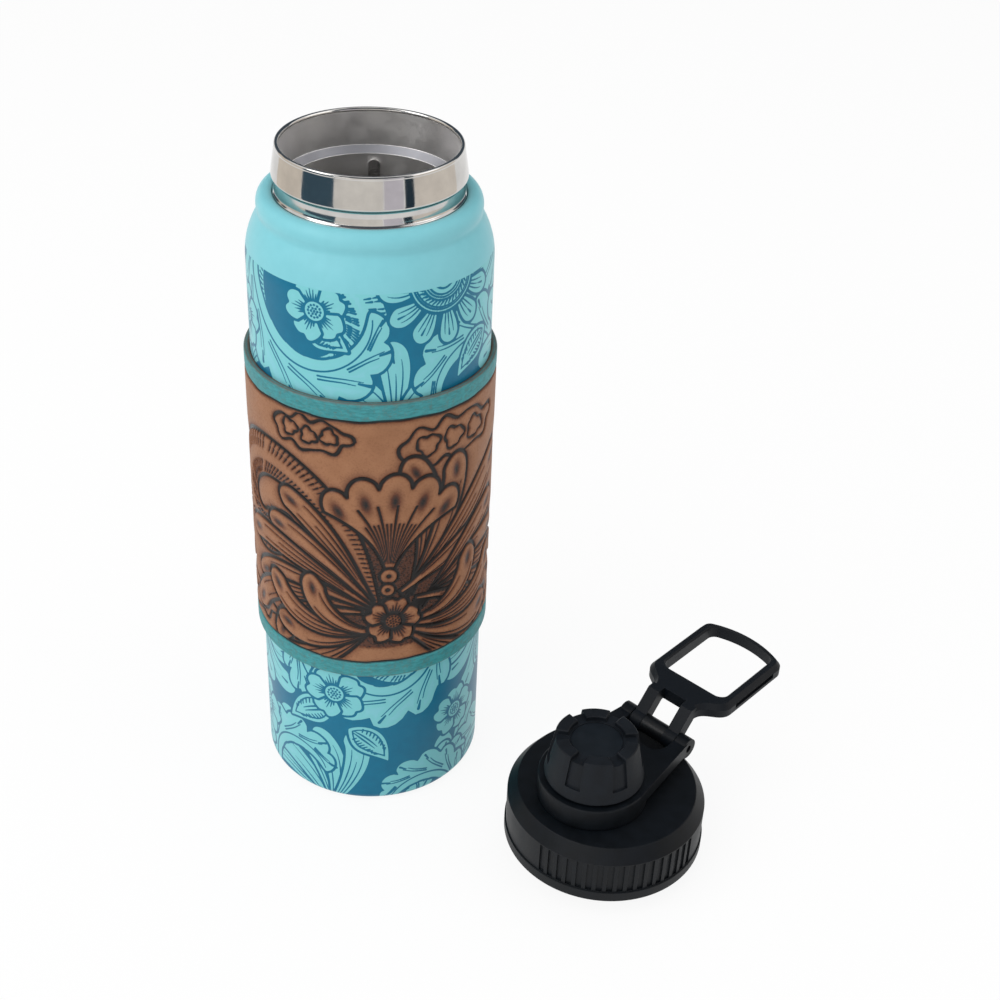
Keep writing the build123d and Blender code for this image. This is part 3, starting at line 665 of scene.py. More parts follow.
@dataclass(frozen=True)
class Rose(Motif):
    """An open flower with notched petals and a beaded middle."""
    place: Place
    radius: float
    petals: int = 5
    weight: Weight = Weight.FINE

    def draw(self, sheet: Sheet) -> None:
        """Draws the petals, their veins and the middle.

        Args:
            sheet: what it is drawn on.
        """
        half = pi / self.petals * 1.1
        size = self.place.size
        radii = np.array([1.3, 0.9, 0.35]) * self.weight.value * size ** 0.5
        for number in range(self.petals):
            facing = tau * number / self.petals + 0.3
            aside = np.linspace(-half, half, 34)
            reach = self.radius * np.cos(aside / half * 1.3) ** 0.26
            reach = reach * (1 - 0.13 * np.exp(-(aside / 0.13) ** 2) + 0.03 * np.sin(8 * aside + number))
            edge = ray(facing + aside, reach)
            sheet.shape(self.place.put(np.concatenate([ray(facing, 0.1 * self.radius)[None, :], edge])))
            for side in (-0.5, -0.25, 0.0, 0.25, 0.5):
                far = 0.76 - 0.4 * abs(side) - 0.06 * (number % 2)
                vein = ray(facing + side * half, np.array([0.3, 0.48, far]) * self.radius)
                sheet.line(self.place.put(vein), radii)
        sheet.shape(self.place.put(ring(0.3 * self.radius)), 0.8)
        for row, beads in ((0.0, 1), (0.1, 6), (0.2, 12)):
            for bead in range(beads):
                centre = self.place.put(ray(tau * bead / beads, row * self.radius))
                sheet.dot(centre, 0.03 * self.radius * size + 0.1)


@dataclass(frozen=True)
class Bud(Motif):
    """A drop-shaped bud with a line inside its edge, hatched towards the middle."""
    place: Place
    length: float
    width: float
    curl: float = 0.5
    hatch: int = 18

    def draw(self, sheet: Sheet) -> None:
        """Draws the drop, its inner line, the hatching and a crescent.

        Args:
            sheet: what it is drawn on.
        """
        points, normals, share = flow(self.length, self.curl)
        half = self.width * 0.5 * np.sin(pi * share ** 1.4) ** 0.75
        placed = self.place.put(ribbon(points, normals, half, half))
        sheet.shape(placed)
        size = self.place.size
        sheet.contour(placed, 0.13 * self.width * size, 0.3)
        for number in range(self.hatch):
            at = int(np.searchsorted(share, 0.26 + 0.6 * (number // 2) / (self.hatch / 2)))
            side = 1 if number % 2 else -1
            outer = points[at] + normals[at] * half[at] * side * 0.7
            inner = points[at] + normals[at] * half[at] * side * 0.4 + (points[at - 3] - points[at]) * 0.5
            sheet.line(self.place.put(np.array([outer, inner])), np.array([0.4, 0.24]))
        for shift in (-0.12, 0.14):
            core = self.place.put((points + normals * (half * shift)[:, None])[14:40])
            sheet.line(core, 0.34 * np.sin(np.linspace(0.1, pi - 0.1, len(core))) + 0.08)


@dataclass(frozen=True)
class Shell(Motif):
    """Arcs one inside the other, with a hatched band and a rim of round-ended blades."""
    place: Place
    radius: float
    sweep: float = 200.0
    blades: int = 9

    def draw(self, sheet: Sheet) -> None:
        """Draws the rim from its sides in, then the arcs and the hatching.

        Args:
            sheet: what it is drawn on.
        """
        size = self.place.size
        for aside in sorted(np.linspace(-1, 1, self.blades), key=lambda value: -abs(value)):
            turn = aside * self.sweep / 2
            start = self.place.then(*ray(radians(turn), 0.5 * self.radius), -turn)
            reach = (0.86 + 0.1 * (1 - abs(aside))) * self.radius
            blade = Blade(start, reach, 0.42 * self.radius, -0.7 * aside, 1.2, -0.5 * aside, 3, Weight.FINE)
            blade.draw(sheet)
        sheet.shape(self.place.put(ring(0.74 * self.radius, 60)))
        for share, thick in ((0.69, 0.3), (0.64, 0.22), (0.5, 0.3), (0.44, 0.22), (0.38, 0.3)):
            hoop = ring(share * self.radius, 60)
            hoop = self.place.put(np.concatenate([hoop, hoop[:1]]))
            sheet.line(hoop, np.full(len(hoop), thick * size ** 0.5 + 0.05))
        for angle in np.linspace(0, tau, 40, endpoint=False):
            stroke = np.stack([ray(angle, 0.53 * self.radius), ray(angle + 0.1, 0.6 * self.radius)])
            sheet.line(self.place.put(stroke), np.array([0.42, 0.26]))
        sheet.dot(self.place.put(np.zeros(2)), 0.31 * self.radius * size)
        sheet.shape(self.place.put(ring(0.2 * self.radius, 30) + (0, 0.04 * self.radius)), 0.5)


@dataclass(frozen=True)
class Rope(Motif):
    """A broad curling band, stamped along both edges with slanting strokes like laid rope."""
    place: Place
    length: float
    width: float
    curl: float
    tighten: float = 1.0
    strokes: int = 40

    def draw(self, sheet: Sheet) -> None:
        """Draws the band, then its strokes, each in short stamps.

        Args:
            sheet: what it is drawn on.
        """
        points, normals, share = flow(self.length, self.curl, self.tighten, count=110)
        half = self.width * 0.5 * (0.3 + 0.7 * np.clip(share / 0.6, 0, 1) ** 0.8)
        half = half * np.sqrt(1 - np.clip((share - 0.94) / 0.06, 0, 1) ** 2)
        sheet.shape(self.place.put(ribbon(points, normals, half, half)))
        for number in range(self.strokes):
            at = int(np.searchsorted(share, 0.03 + 0.93 * number / self.strokes))
            ahead = np.array([normals[at][1], -normals[at][0]]) * half[at] * 0.42
            for low, high in ((-0.9, -0.68), (-0.58, -0.3), (0.34, 0.62), (0.7, 0.92)):
                first = points[at] + ahead * low + normals[at] * half[at] * low
                second = points[at] + ahead * high + normals[at] * half[at] * high
                stroke = self.place.put(np.array([first, second]))
                sheet.line(stroke, np.array([0.42, 0.2]) * self.place.size)


@dataclass(frozen=True)
class Cloud(Motif):
    """A wavering closed outline like bark or cloud, with smaller ones inside."""
    place: Place
    radius: float
    stretch: float = 1.3
    waves: int = 7
    inner: int = 2
    seed: float = 0.0

    @staticmethod
    def outline(width: float, height: float, waves: int, phase: float) -> np.ndarray:
        """A wavering loop.

        Args:
            width: its half width.
            height: its half height.
            waves: how often it wavers.
            phase: where the waves start, in radians.

        Returns:
            The loop's points, the last on the first.
        """
        angle = np.linspace(0, tau, 360)
        base = np.stack([width * np.cos(angle), height * np.sin(angle)], 1)
        run = np.concatenate([[0], np.cumsum(np.hypot(*np.diff(base, axis=0).T))])
        even = np.interp(np.linspace(0, run[-1], 90), run, angle)
        turn = np.linspace(0, tau, 90)
        sway = 0.15 * height * (np.sin(waves * turn + phase) + 0.5 * np.sin((waves + 3) * turn + 2 * phase))
        across = np.stack([np.cos(even) * height, np.sin(even) * width], 1)
        across /= np.hypot(*across.T)[:, None]
        return np.stack([width * np.cos(even), height * np.sin(even)], 1) + across * sway[:, None]

    def draw(self, sheet: Sheet) -> None:
        """Draws the outer loop as a heavy cut and the inner ones lighter.

        Args:
            sheet: what it is drawn on.
        """
        loops = [(self.outline(self.radius * self.stretch, self.radius, self.waves, self.seed), 1.0)]
        for number in range(self.inner):
            centre = ((2 * number + 1) / self.inner - 1) * 0.74 * self.radius * self.stretch
            lift = 0.12 * self.radius * sin(3 * number + self.seed)
            width = 0.2 * self.radius * self.stretch
            inside = self.outline(width, 0.5 * self.radius, 3, self.seed + number)
            loops.append((inside + (centre, lift), 0.85))
        for loop, heavy in loops:
            sway = 0.64 + 0.14 * np.sin(np.linspace(0, 9 * pi, len(loop)) + self.seed)
            sheet.line(self.place.put(loop), sway * heavy)


@dataclass(frozen=True)
class Ground(Motif):
    """A matted patch of background."""
    place: Place
    radius: float
    stretch: float = 1.4

    def draw(self, sheet: LeatherSheet) -> None:
        """Mats the patch."""
        sheet.ground(self.place.put(ring(self.radius) * (self.stretch, 1)))


# Layout of the print and of the tooling

def paint(motifs: list[Motif], sheet: Sheet) -> None:
    """Draws motifs in order, and again half way round.

    Args:
        motifs: what is drawn, the lowest first.
        sheet: what they are drawn on.
    """
    for shift in (0.0, sheet.around / 2):
        for motif in motifs:
            replace(motif, place=replace(motif.place, x=motif.place.x + shift)).draw(sheet)


LOW_PRINT = [
    Spray(Place(-66, 80, 176), 46, 11, 6, 60, -40, 1.5, 0.5, 0.7, Weight.FINE),
    Spray(Place(58, 86, 184), 48, 11, 6, 44, -60, -0.4, -1.6, 0.7, Weight.FINE),
    Leaf(Place(-34, 82, 184), 46, 14, 1.4, 1.2, 6),
    Spray(Place(-16, -10, 10), 58, 10, 7, 66, -44, 1.7, 0.6, 0.8, Weight.FINE),
    Spray(Place(44, -12, -10), 52, 10, 6, -60, 40, -1.7, -0.5, 0.8, Weight.FINE),
    Rope(Place(34, 82, 150), 92, 12, -5.4, 1.3, 54),
    Leaf(Place(28, 84, 176, 1, True), 92, 18, 4.6, 1.3, 9),
    Leaf(Place(-48, -8, 24, 1, True), 62, 15, 3.4, 1.4, 7),
    Leaf(Place(76, -8, 10), 60, 15, 3.2, 1.3, 7),
    Leaf(Place(20, -6, -4, 1, True), 38, 12, 2.4, 1.3, 6),
    Leaf(Place(40, -10, 8), 52, 13, 2.9, 1.3, 7),
    Bud(Place(-38, 36, -40), 26, 14, -0.7),
    Bud(Place(72, 66, 120), 24, 13, 0.7),
    Rose(Place(-62, 26, 10), 15, 5),
    Rose(Place(-16, 57, 30), 13, 5),
    Bud(Place(6, 22, 26), 24, 13, 0.6),
    Rose(Place(38, 37, 10), 12, 5),
]
HIGH_PRINT = [
    Spray(Place(-62, 182, 12), 46, 11, 5, 50, -40, 1.5, -0.6, 0.7, Weight.FINE),
    Spray(Place(8, 182, -4), 36, 11, 5, 60, -60, 1.5, -1.2, 0.7, Weight.FINE),
    Rope(Place(-44, 246, 158), 128, 15, 5.6, 1.3, 70),
    Leaf(Place(-52, 250, 176), 100, 18, 3.4, 1.5, 9),
    Leaf(Place(76, 248, 128, 1, True), 84, 20, 3.6, 1.4, 8),
    Leaf(Place(64, 184, 4), 74, 16, 3.6, 1.4, 8),
    Shell(Place(27, 240, 186), 18, 160, 7),
    Bud(Place(34, 198, -34), 22, 12, -0.6),
    Bud(Place(-8, 214, 52), 18, 11, 0.5),
    Rose(Place(-20, 228, 30), 12, 5),
    Rose(Place(-62, 212, 10), 13, 5),
]
WRAP = [
    Ground(Place(8, 116), 18, 1.9),
    Ground(Place(6, 94), 10, 3.4),
    Cloud(Place(33, 175), 8.6, 2.7, 8, 3),
    Cloud(Place(-24, 179), 6.6, 2.5, 7, 3, 1.0),
    Cloud(Place(-62, 88), 7.5, 2.2, 7, 2, 1.0),
    Cloud(Place(57, 89), 7.5, 2.0, 6, 2, 3.0),
    Rope(Place(0, 104, 14), 156, 19, 6.2, 2.2, 72),
    Spray(Place(12, 108, -22), 76, 12, 4, 2, -34, 0.7, -0.5, 0.7),
    Spray(Place(0, 103, 56), 70, 11, 6, -30, 30, 0.5, 1.4, 0.6),
    Spray(Place(16, 103, -66), 68, 11, 5, 26, -28, -0.4, -1.4, 0.6),
    Fan(Place(6, 115, -4), 50),
    Spray(Place(4, 95, 112), 58, 11, 4, 24, -20, -0.5, -1.6, 0.6),
    Spray(Place(12, 95, -112), 60, 11, 4, -24, 20, 0.5, 1.6, 0.6),
    Rose(Place(8, 97, 8), 12, 5, Weight.MEDIUM),
]


# Materials

# Noise hardly leaves this span of values
NOISE_SPAN = {"From Min": 0.3, "From Max": 0.7}
# A colour mix takes a share and the colours under and over by these inputs, and gives its third output
SHARE, UNDER, OVER = 0, 6, 7
OF_COLOURS = {"out": 2, "data_type": "RGBA"}


def linear(code: str) -> tuple[float, float, float, float]:
    """Linear colour of an sRGB hex code such as 7FC8D3."""
    parts = [int(code[at:at + 2], 16) / 255 for at in (0, 2, 4)]
    return (*[part / 12.92 if part <= 0.04045 else ((part + 0.055) / 1.055) ** 2.4 for part in parts], 1.0)


def add_node(tree: bpy.types.NodeTree, kind: str, inputs: dict, out: int | str = 0,
             **settings: object) -> bpy.types.NodeSocket | None:
    """Adds one node with its settings and links.

    Args:
        tree: where it goes.
        kind: Blender's name for the node, without ShaderNode.
        inputs: values, hex colours or sockets for its inputs, by name or number.
        out: the output that is wanted.
        **settings: the node's own settings.

    Returns:
        That output, or nothing where the node has none.
    """
    node = tree.nodes.new("ShaderNode" + kind)
    for name, value in settings.items():
        setattr(node, name, value)
    for name, value in inputs.items():
        if isinstance(value, bpy.types.NodeSocket):
            tree.links.new(value, node.inputs[name])
        else:
            node.inputs[name].default_value = linear(value) if isinstance(value, str) else value
    return node.outputs[out] if node.outputs else None


class Recipe:
    """A material in the making: its tree, and its coordinates in mm, so that a scale of 1 / 4 means 4 mm."""

    def __init__(self, name: str) -> None:
        """Starts an empty material.

        Args:
            name: the material's name.
        """
        self.material = bpy.data.materials.new(name)
        self.material.use_nodes = True
        self.material.node_tree.nodes.clear()
        self.add = partial(add_node, self.material.node_tree)
        place = self.add("TexCoord", {}, "Object")
        self.place = self.add("VectorMath", {0: place, 1: (1 / MM,) * 3}, operation="MULTIPLY")

    def finish(self, inputs: dict) -> bpy.types.Material:
        """Adds the shader with its inputs and gives back the material."""
        self.add("OutputMaterial", {"Surface": self.add("BsdfPrincipled", inputs)})
        return self.material


class Finish:
    """What a piece is made of and how its surface was made."""

    def material(self) -> bpy.types.Material:
        """Makes the material."""
        raise NotImplementedError


@dataclass(frozen=True)
class PowderCoat(Finish):
    """Polyester powder coat, baked, with a two-colour transfer print under its satin surface."""
    coat: str = "7FC6D0"
    coat_deep: str = "7CC3CD"
    light: str = "78C4CA"
    ink: str = "026D8D"
    ink_deep: str = "026787"

    def material(self) -> bpy.types.Material:
        """Powder melts into a faint orange-peel skin: highlights are soft, wide and slightly broken."""
        mix = Recipe("powder_coat_satin_printed")
        add = mix.add
        # Its colour drifts hardly visibly over about 4 mm
        mottle = add("TexNoise", {"Vector": mix.place, "Scale": 1 / 4.0, "Detail": 5.0})
        share = add("MapRange", {"Value": mottle, **NOISE_SPAN})
        field = add("Attribute", {}, "Fac", attribute_name="light_ink")
        bare = add("MapRange", {"Value": field, "From Min": 1.5, "From Max": 2.5})
        light = add("Mix", {SHARE: share, UNDER: self.coat_deep, OVER: self.coat}, **OF_COLOURS)
        light = add("Mix", {SHARE: bare, UNDER: self.light, OVER: light}, **OF_COLOURS)
        dark = add("Mix", {SHARE: share, UNDER: self.ink_deep, OVER: self.ink}, **OF_COLOURS)
        # The print's edge frays by about 0.05 mm, drawn a little coarser so that it shows
        fray = add("TexNoise", {"Vector": mix.place, "Scale": 1 / 0.5})
        edge = add("Math", {0: fray, 1: 0.14, 2: field}, operation="MULTIPLY_ADD")
        inked = add("MapRange", {"Value": edge, "From Min": 0.01, "From Max": 0.13})
        colour = add("Mix", {SHARE: inked, UNDER: dark, OVER: light}, **OF_COLOURS)
        # Orange peel is about 1.5 mm from crest to crest and a few microns high
        peel = add("TexNoise", {"Vector": mix.place, "Scale": 1 / 1.5, "Detail": 2.0})
        # The satin's own grain is below 0.1 mm, drawn coarser so that it shows
        fine = add("TexNoise", {"Vector": mix.place, "Scale": 1 / 0.4, "Detail": 2.0})
        rough = add("MapRange", {"Value": fine, **NOISE_SPAN, "To Min": 0.34, "To Max": 0.42})
        normal = add("Bump", {"Height": peel, "Distance": 0.02 * MM, "Strength": 0.3})
        return mix.finish({"Base Color": colour, "Roughness": rough, "Normal": normal,
                           "Specular IOR Level": 0.24, "Sheen Weight": 0.12, "Sheen Roughness": 0.35})


@dataclass(frozen=True)
class TooledLeather(Finish):
    """Vegetable-tanned cowhide, carved wet, antiqued with dark paste, borders painted by hand."""
    tan: str = "9B6B4A"
    tan_deep: str = "8F6141"
    brown: str = "62351E"
    dark: str = "100C0B"
    border: str = "3C969B"
    border_deep: str = "2C7A7F"
    worn: str = "5F6055"
    raw: str = "6B4632"

    def material(self) -> bpy.types.Material:
        """Smooth face, fine pores, waxed sheen; dye darkest in the cuts, painted shade beside them; paint
        thin, worn.
        """
        mix = Recipe("leather_veg_tanned_tooled")
        add = mix.add
        # The dye field also carries the painted shade beside the cuts
        dye_and_shade = add("Attribute", {}, "Fac", attribute_name="dye_and_shade")
        # A hide takes the tan unevenly over about 7 mm, and its grain is about 0.8 mm across
        patches = add("TexNoise", {"Vector": mix.place, "Scale": 1 / 7.0, "Detail": 5.0})
        grain = add("TexNoise", {"Vector": mix.place, "Scale": 1 / 0.8, "Detail": 4.0, "Roughness": 0.6})
        mottled = add("MapRange", {"Value": patches, **NOISE_SPAN})
        tan = add("Mix", {SHARE: mottled, UNDER: self.tan_deep, OVER: self.tan}, **OF_COLOURS)
        specks = add("MapRange", {"Value": grain, "From Min": 0.5, "From Max": 0.75, "To Max": 0.3})
        tan = add("Mix", {SHARE: specks, UNDER: tan, OVER: self.brown}, **OF_COLOURS)
        # Browning and blackening follow the dye and the painted shade beside the cuts
        ragged = add("Math", {0: grain, 1: 0.24, 2: dye_and_shade}, operation="MULTIPLY_ADD")
        browned_and_shaded = add("MapRange", {"Value": ragged, "From Min": 0.17, "From Max": 0.62})
        blackened_and_shaded = add("MapRange", {"Value": ragged, "From Min": 0.56, "From Max": 0.9})
        tone = add("Mix", {SHARE: browned_and_shaded, UNDER: tan, OVER: self.brown}, **OF_COLOURS)
        tone = add("Mix", {SHARE: blackened_and_shaded, UNDER: tone, OVER: self.dark}, **OF_COLOURS)
        # A matting tool leaves pits about 1 mm apart
        matting = add("Attribute", {}, "Fac", attribute_name="matting")
        pits = add("TexVoronoi", {"Vector": mix.place, "Scale": 1.0}, "Distance")
        pit = add("MapRange", {"Value": pits, "From Min": 0.2, "From Max": 0.62, "To Min": 1.0,
                               "To Max": 0.0})
        pitted = add("Math", {0: matting, 1: pit}, operation="MULTIPLY")
        pit_dye = add("Math", {0: pitted, 1: 0.8}, operation="MULTIPLY")
        tone = add("Mix", {SHARE: pit_dye, UNDER: tone, OVER: self.dark}, **OF_COLOURS)
        # The brush leaves the paint thin in streaks about 2 mm apart, and its edge wavers by half of one
        brushed = add("VectorMath", {0: mix.place, 1: (1.0, 1.0, 3.2)}, operation="MULTIPLY")
        streak = add("TexNoise", {"Vector": brushed, "Scale": 1 / 3.2, "Detail": 6.0, "Roughness": 0.7})
        thin = add("MapRange", {"Value": streak, "From Min": 0.35, "From Max": 0.65})
        paint = add("Mix", {SHARE: thin, UNDER: self.border_deep, OVER: self.border}, **OF_COLOURS)
        rub = add("TexNoise", {"Vector": mix.place, "Scale": 1 / 1.6, "Detail": 6.0, "Roughness": 0.75})
        rubbed = add("MapRange", {"Value": rub, "From Min": 0.5, "From Max": 0.72, "To Max": 0.6})
        paint = add("Mix", {SHARE: rubbed, UNDER: paint, OVER: self.worn}, **OF_COLOURS)
        lined = add("MapRange", {"Value": ragged, "From Min": 0.5, "From Max": 0.95, "To Max": 0.9})
        paint = add("Mix", {SHARE: lined, UNDER: paint, OVER: self.dark}, **OF_COLOURS)
        border = add("Attribute", {}, "Fac", attribute_name="border")
        waver = add("Math", {0: rub, 1: 0.6, 2: border}, operation="MULTIPLY_ADD")
        painted = add("MapRange", {"Value": waver, "From Min": 0.15, "From Max": 0.45})
        colour = add("Mix", {SHARE: painted, UNDER: tone, OVER: paint}, **OF_COLOURS)
        raw = add("Attribute", {}, "Fac", attribute_name="raw_edge")
        colour = add("Mix", {SHARE: raw, UNDER: colour, OVER: self.raw}, **OF_COLOURS)
        rough = add("MapRange", {"Value": grain, **NOISE_SPAN, "To Min": 0.46, "To Max": 0.6})
        # The antique paste is waxy, so it shines where it fills the cuts
        rough = add("Math", {0: blackened_and_shaded, 1: -0.16, 2: rough}, operation="MULTIPLY_ADD")
        # Pores lie about 0.4 mm apart
        pores = add("TexVoronoi", {"Vector": mix.place, "Scale": 2.4}, "Distance")
        relief = add("Math", {0: pores, 1: 0.3, 2: grain}, operation="MULTIPLY_ADD")
        relief = add("Math", {0: pitted, 1: -3.6, 2: relief}, operation="MULTIPLY_ADD")
        normal = add("Bump", {"Height": relief, "Distance": 0.08 * MM, "Strength": 0.7})
        return mix.finish({"Base Color": colour, "Roughness": rough, "Normal": normal,
                           "Specular IOR Level": 0.35})


class Lay(Enum):
    """Which way the finishing lines run: round a wall, or round a flat face."""
    WALL = 0
    FACE = 1


@dataclass(frozen=True)
class Steel(Finish):
    """Stainless steel of the 304 kind.

    pitch and depth are the width and depth of its finishing lines in mm. A polishing wheel leaves them about
    a tenth as wide, and they are drawn coarser so that they show. The last two fields give the heights in mm
    of a turned step, drawn rougher, and the grey painted on it as painted shade.
    """
    name: str
    colour: str = "CCCAC7"
    dull: str = "B5B3B1"
    rough: float = 0.05
    spread: float = 0.04
    pitch: float = 0.3
    depth: float = 0.003
    lay: Lay = Lay.WALL
    matt_shaded_step: tuple[float, float] | None = None
    step_shade: str = "A0A0A5"

    def material(self) -> bpy.types.Material:
        """Polishing leaves fine lines round the axis: reflections stay sharp along it and smear across."""
        mix = Recipe(self.name)
        add = mix.add
        height = add("SeparateXYZ", {0: mix.place}, 2)
        flat = add("VectorMath", {0: mix.place, 1: (1.0, 1.0, 0.0)}, operation="MULTIPLY")
        reach = add("VectorMath", {0: flat}, "Value", operation="LENGTH")
        lines = add("CombineXYZ", {0: reach if self.lay is Lay.FACE else height})
        streak = add("TexNoise", {"Vector": lines, "Scale": 1 / self.pitch, "Detail": 2.0,
                                  "Roughness": 0.6})
        # Wiping and handling leave faint clouds about 6 mm across
        cloud = add("TexNoise", {"Vector": mix.place, "Scale": 1 / 6.0, "Detail": 3.0})
        fine = add("MapRange", {"Value": streak, **NOISE_SPAN, "To Min": self.rough,
                                "To Max": self.rough + self.spread})
        smear = add("MapRange", {"Value": cloud, "From Min": 0.4, "From Max": 0.7, "To Max": self.spread})
        rough = add("Math", {0: fine, 1: smear}, operation="ADD")
        tarnish = add("MapRange", {"Value": cloud, **NOISE_SPAN, "To Max": 0.5})
        colour = add("Mix", {SHARE: tarnish, UNDER: self.colour, OVER: self.dull}, **OF_COLOURS)
        if self.matt_shaded_step:
            low, high = self.matt_shaded_step
            step = add("Math", {0: height, 1: (low + high) / 2, 2: (high - low) / 2}, operation="COMPARE")
            # The step is painted grey as painted shade, and drawn rougher
            colour = add("Mix", {SHARE: step, UNDER: colour, OVER: self.step_shade}, **OF_COLOURS)
            rough = add("Math", {0: step, 1: 0.12, 2: rough}, operation="MULTIPLY_ADD")
        normal = add("Bump", {"Height": streak, "Distance": self.depth * MM, "Strength": 0.5})
        return mix.finish({"Base Color": colour, "Metallic": 1.0, "Roughness": rough, "Normal": normal})


@dataclass(frozen=True)
class MouldedPlastic(Finish):
    """Injection-moulded plastic, its mould spark-eroded to a fine matt texture.

    edge is the rounding of its edges and texture the grain of its surface, both in mm.
    """
    name: str
    colour: str = "04080D"
    scuffed: str = "0A1017"
    rough: float = 0.42
    gloss: float = 0.2
    edge: float = 0.3
    texture: float = 0.35

    def material(self) -> bpy.types.Material:
        """Matt black with a cool sheen; edges rounded by the mould catch thin highlights."""
        mix = Recipe(self.name)
        add = mix.add
        # Handling greys it in blotches about 5 mm across
        blotch = add("TexNoise", {"Vector": mix.place, "Scale": 1 / 5.0, "Detail": 5.0})
        # Spark texture is about 0.1 mm across, drawn coarser so that it shows
        fine = add("TexNoise", {"Vector": mix.place, "Scale": 1 / self.texture, "Detail": 2.0})
        handled = add("MapRange", {"Value": blotch, "From Min": 0.35, "From Max": 0.7, "To Max": 0.6})
        colour = add("Mix", {SHARE: handled, UNDER: self.colour, OVER: self.scuffed}, **OF_COLOURS)
        grain = add("MapRange", {"Value": fine, **NOISE_SPAN, "To Min": self.rough,
                                 "To Max": self.rough + 0.08})
        rough = add("Math", {0: handled, 1: 0.08, 2: grain}, operation="MULTIPLY_ADD")
        edges = add("Bevel", {"Radius": self.edge * MM}, samples=6)
        normal = add("Bump", {"Height": fine, "Distance": 0.015 * MM, "Strength": 0.3, "Normal": edges})
        return mix.finish({"Base Color": colour, "Roughness": rough, "Normal": normal,
                           "Specular IOR Level": self.gloss})


@dataclass(frozen=True)
class Silicone(Finish):
    """Moulded silicone rubber, slightly dusty."""
    name: str = "silicone_moulded"
    colour: str = "C3C7C6"
    dusty: str = "A9AEAE"

    def material(self) -> bpy.types.Material:
        """Soft and dull, with faint dust in patches."""
        mix = Recipe(self.name)
        add = mix.add
        # Dust clings in patches about 3 mm across
        dust = add("TexNoise", {"Vector": mix.place, "Scale": 1 / 3.0, "Detail": 5.0})
        share = add("MapRange", {"Value": dust, "From Min": 0.4, "From Max": 0.7, "To Max": 0.5})
        colour = add("Mix", {SHARE: share, UNDER: self.colour, OVER: self.dusty}, **OF_COLOURS)
        rough = add("MapRange", {"Value": dust, **NOISE_SPAN, "To Min": 0.5, "To Max": 0.65})
        # The mould's texture is about 0.1 mm across, drawn coarser so that it shows
        fine = add("TexNoise", {"Vector": mix.place, "Scale": 1 / 0.4})
        edges = add("Bevel", {"Radius": 0.2 * MM}, samples=4)
        normal = add("Bump", {"Height": fine, "Distance": 0.01 * MM, "Strength": 0.3, "Normal": edges})
        return mix.finish({"Base Color": colour, "Roughness": rough, "Normal": normal})


@dataclass(frozen=True)
class WaxedThread(Finish):
    """Waxed polyester thread, two plies laid together."""
    name: str = "thread_waxed_twisted"
    colour: str = "6B4A36"
    # Painted shade for the grooves between the plies
    shade: str = "3B281E"

    def material(self) -> bpy.types.Material:
        """Plies about 0.45 mm apart show as slanting ridges with painted shade between; the wax gives a
        faint shine.
        """
        mix = Recipe(self.name)
        add = mix.add
        slanted = add("Mapping", {"Vector": mix.place, "Rotation": (0.0, 0.7, 0.0)})
        plies = add("TexWave", {"Vector": slanted, "Scale": 0.7, "Distortion": 0.4}, "Fac")
        # The grooves between the plies are painted darker, as painted shade
        colour = add("Mix", {SHARE: plies, UNDER: self.shade, OVER: self.colour}, **OF_COLOURS)
        rough = add("MapRange", {"Value": plies, "To Min": 0.55, "To Max": 0.4})
        normal = add("Bump", {"Height": plies, "Distance": 0.12 * MM, "Strength": 0.8})
        return mix.finish({"Base Color": colour, "Roughness": rough, "Normal": normal})


# Meshes

Profile = tuple[tuple[float, float], ...]


def arc(centre: tuple[float, float], radius: float, first: float, last: float, count: int) -> np.ndarray:
    """Points on an arc.

    Args:
        centre: its centre.
        radius: its radius.
        first: angle of its first point, in degrees.
        last: angle of its last point.
        count: number of points.

    Returns:
        The points.
    """
    return np.array([(centre[0] + radius * cos(radians(angle)), centre[1] + radius * sin(radians(angle)))
                     for angle in np.linspace(first, last, count)])


def swing(radius: np.ndarray, turn: np.ndarray, height: np.ndarray) -> np.ndarray:
    """Points at these radii, angles round the bottle's axis and heights."""
    return np.stack([radius * np.cos(turn), radius * np.sin(turn), height + 0 * turn], -1)


def skin(name: str, places: np.ndarray, around: bool, along: bool,
         fields: dict[str, np.ndarray] | None = None) -> bpy.types.Object:
    """A smooth mesh over a grid of points.

    Args:
        name: the piece's name.
        places: rows by columns by three, in mm; faces look outwards where columns run to the right of rows.
        around: whether the last column joins the first.
        along: whether the last row joins the first.
        fields: values to store at the points, by name.

    Returns:
        The object.
    """
    rows, columns = places.shape[:2]
    index = np.arange(rows * columns).reshape(rows, columns)
    if around:
        index = np.concatenate([index, index[:, :1]], 1)
    if along:
        index = np.concatenate([index, index[:1]])
    faces = np.stack([index[:-1, :-1], index[:-1, 1:], index[1:, 1:], index[1:, :-1]], -1).reshape(-1, 4)
    mesh = bpy.data.meshes.new(name)
    mesh.vertices.add(rows * columns)
    mesh.vertices.foreach_set("co", (places.reshape(-1) * MM).astype(np.float32))
    mesh.loops.add(faces.size)
    mesh.loops.foreach_set("vertex_index", faces.reshape(-1).astype(np.int32))
    mesh.polygons.add(len(faces))
    mesh.polygons.foreach_set("loop_start", np.arange(0, faces.size, 4, dtype=np.int32))
    mesh.update(calc_edges=True)
    mesh.polygons.foreach_set("use_smooth", np.ones(len(faces), bool))
    for field_name, values in (fields or {}).items():
        layer = mesh.attributes.new(field_name, "FLOAT", "POINT")
        layer.data.foreach_set("value", values.reshape(-1).astype(np.float32))
    mesh.validate()
    piece = bpy.data.objects.new(name, mesh)
    bpy.context.collection.objects.link(piece)
    return piece


def dress(finish: Finish, *nodes: str) -> None:
    """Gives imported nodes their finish.

    Args:
        finish: what they are made of.
        *nodes: their names.
    """
    material = finish.material()
    for node in nodes:
        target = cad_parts[node]
        if not target.material_slots:
            target.data.materials.append(material)
        for place in target.material_slots:
            place.material = material
        LOG.info("%s wears %s", node, material.name)


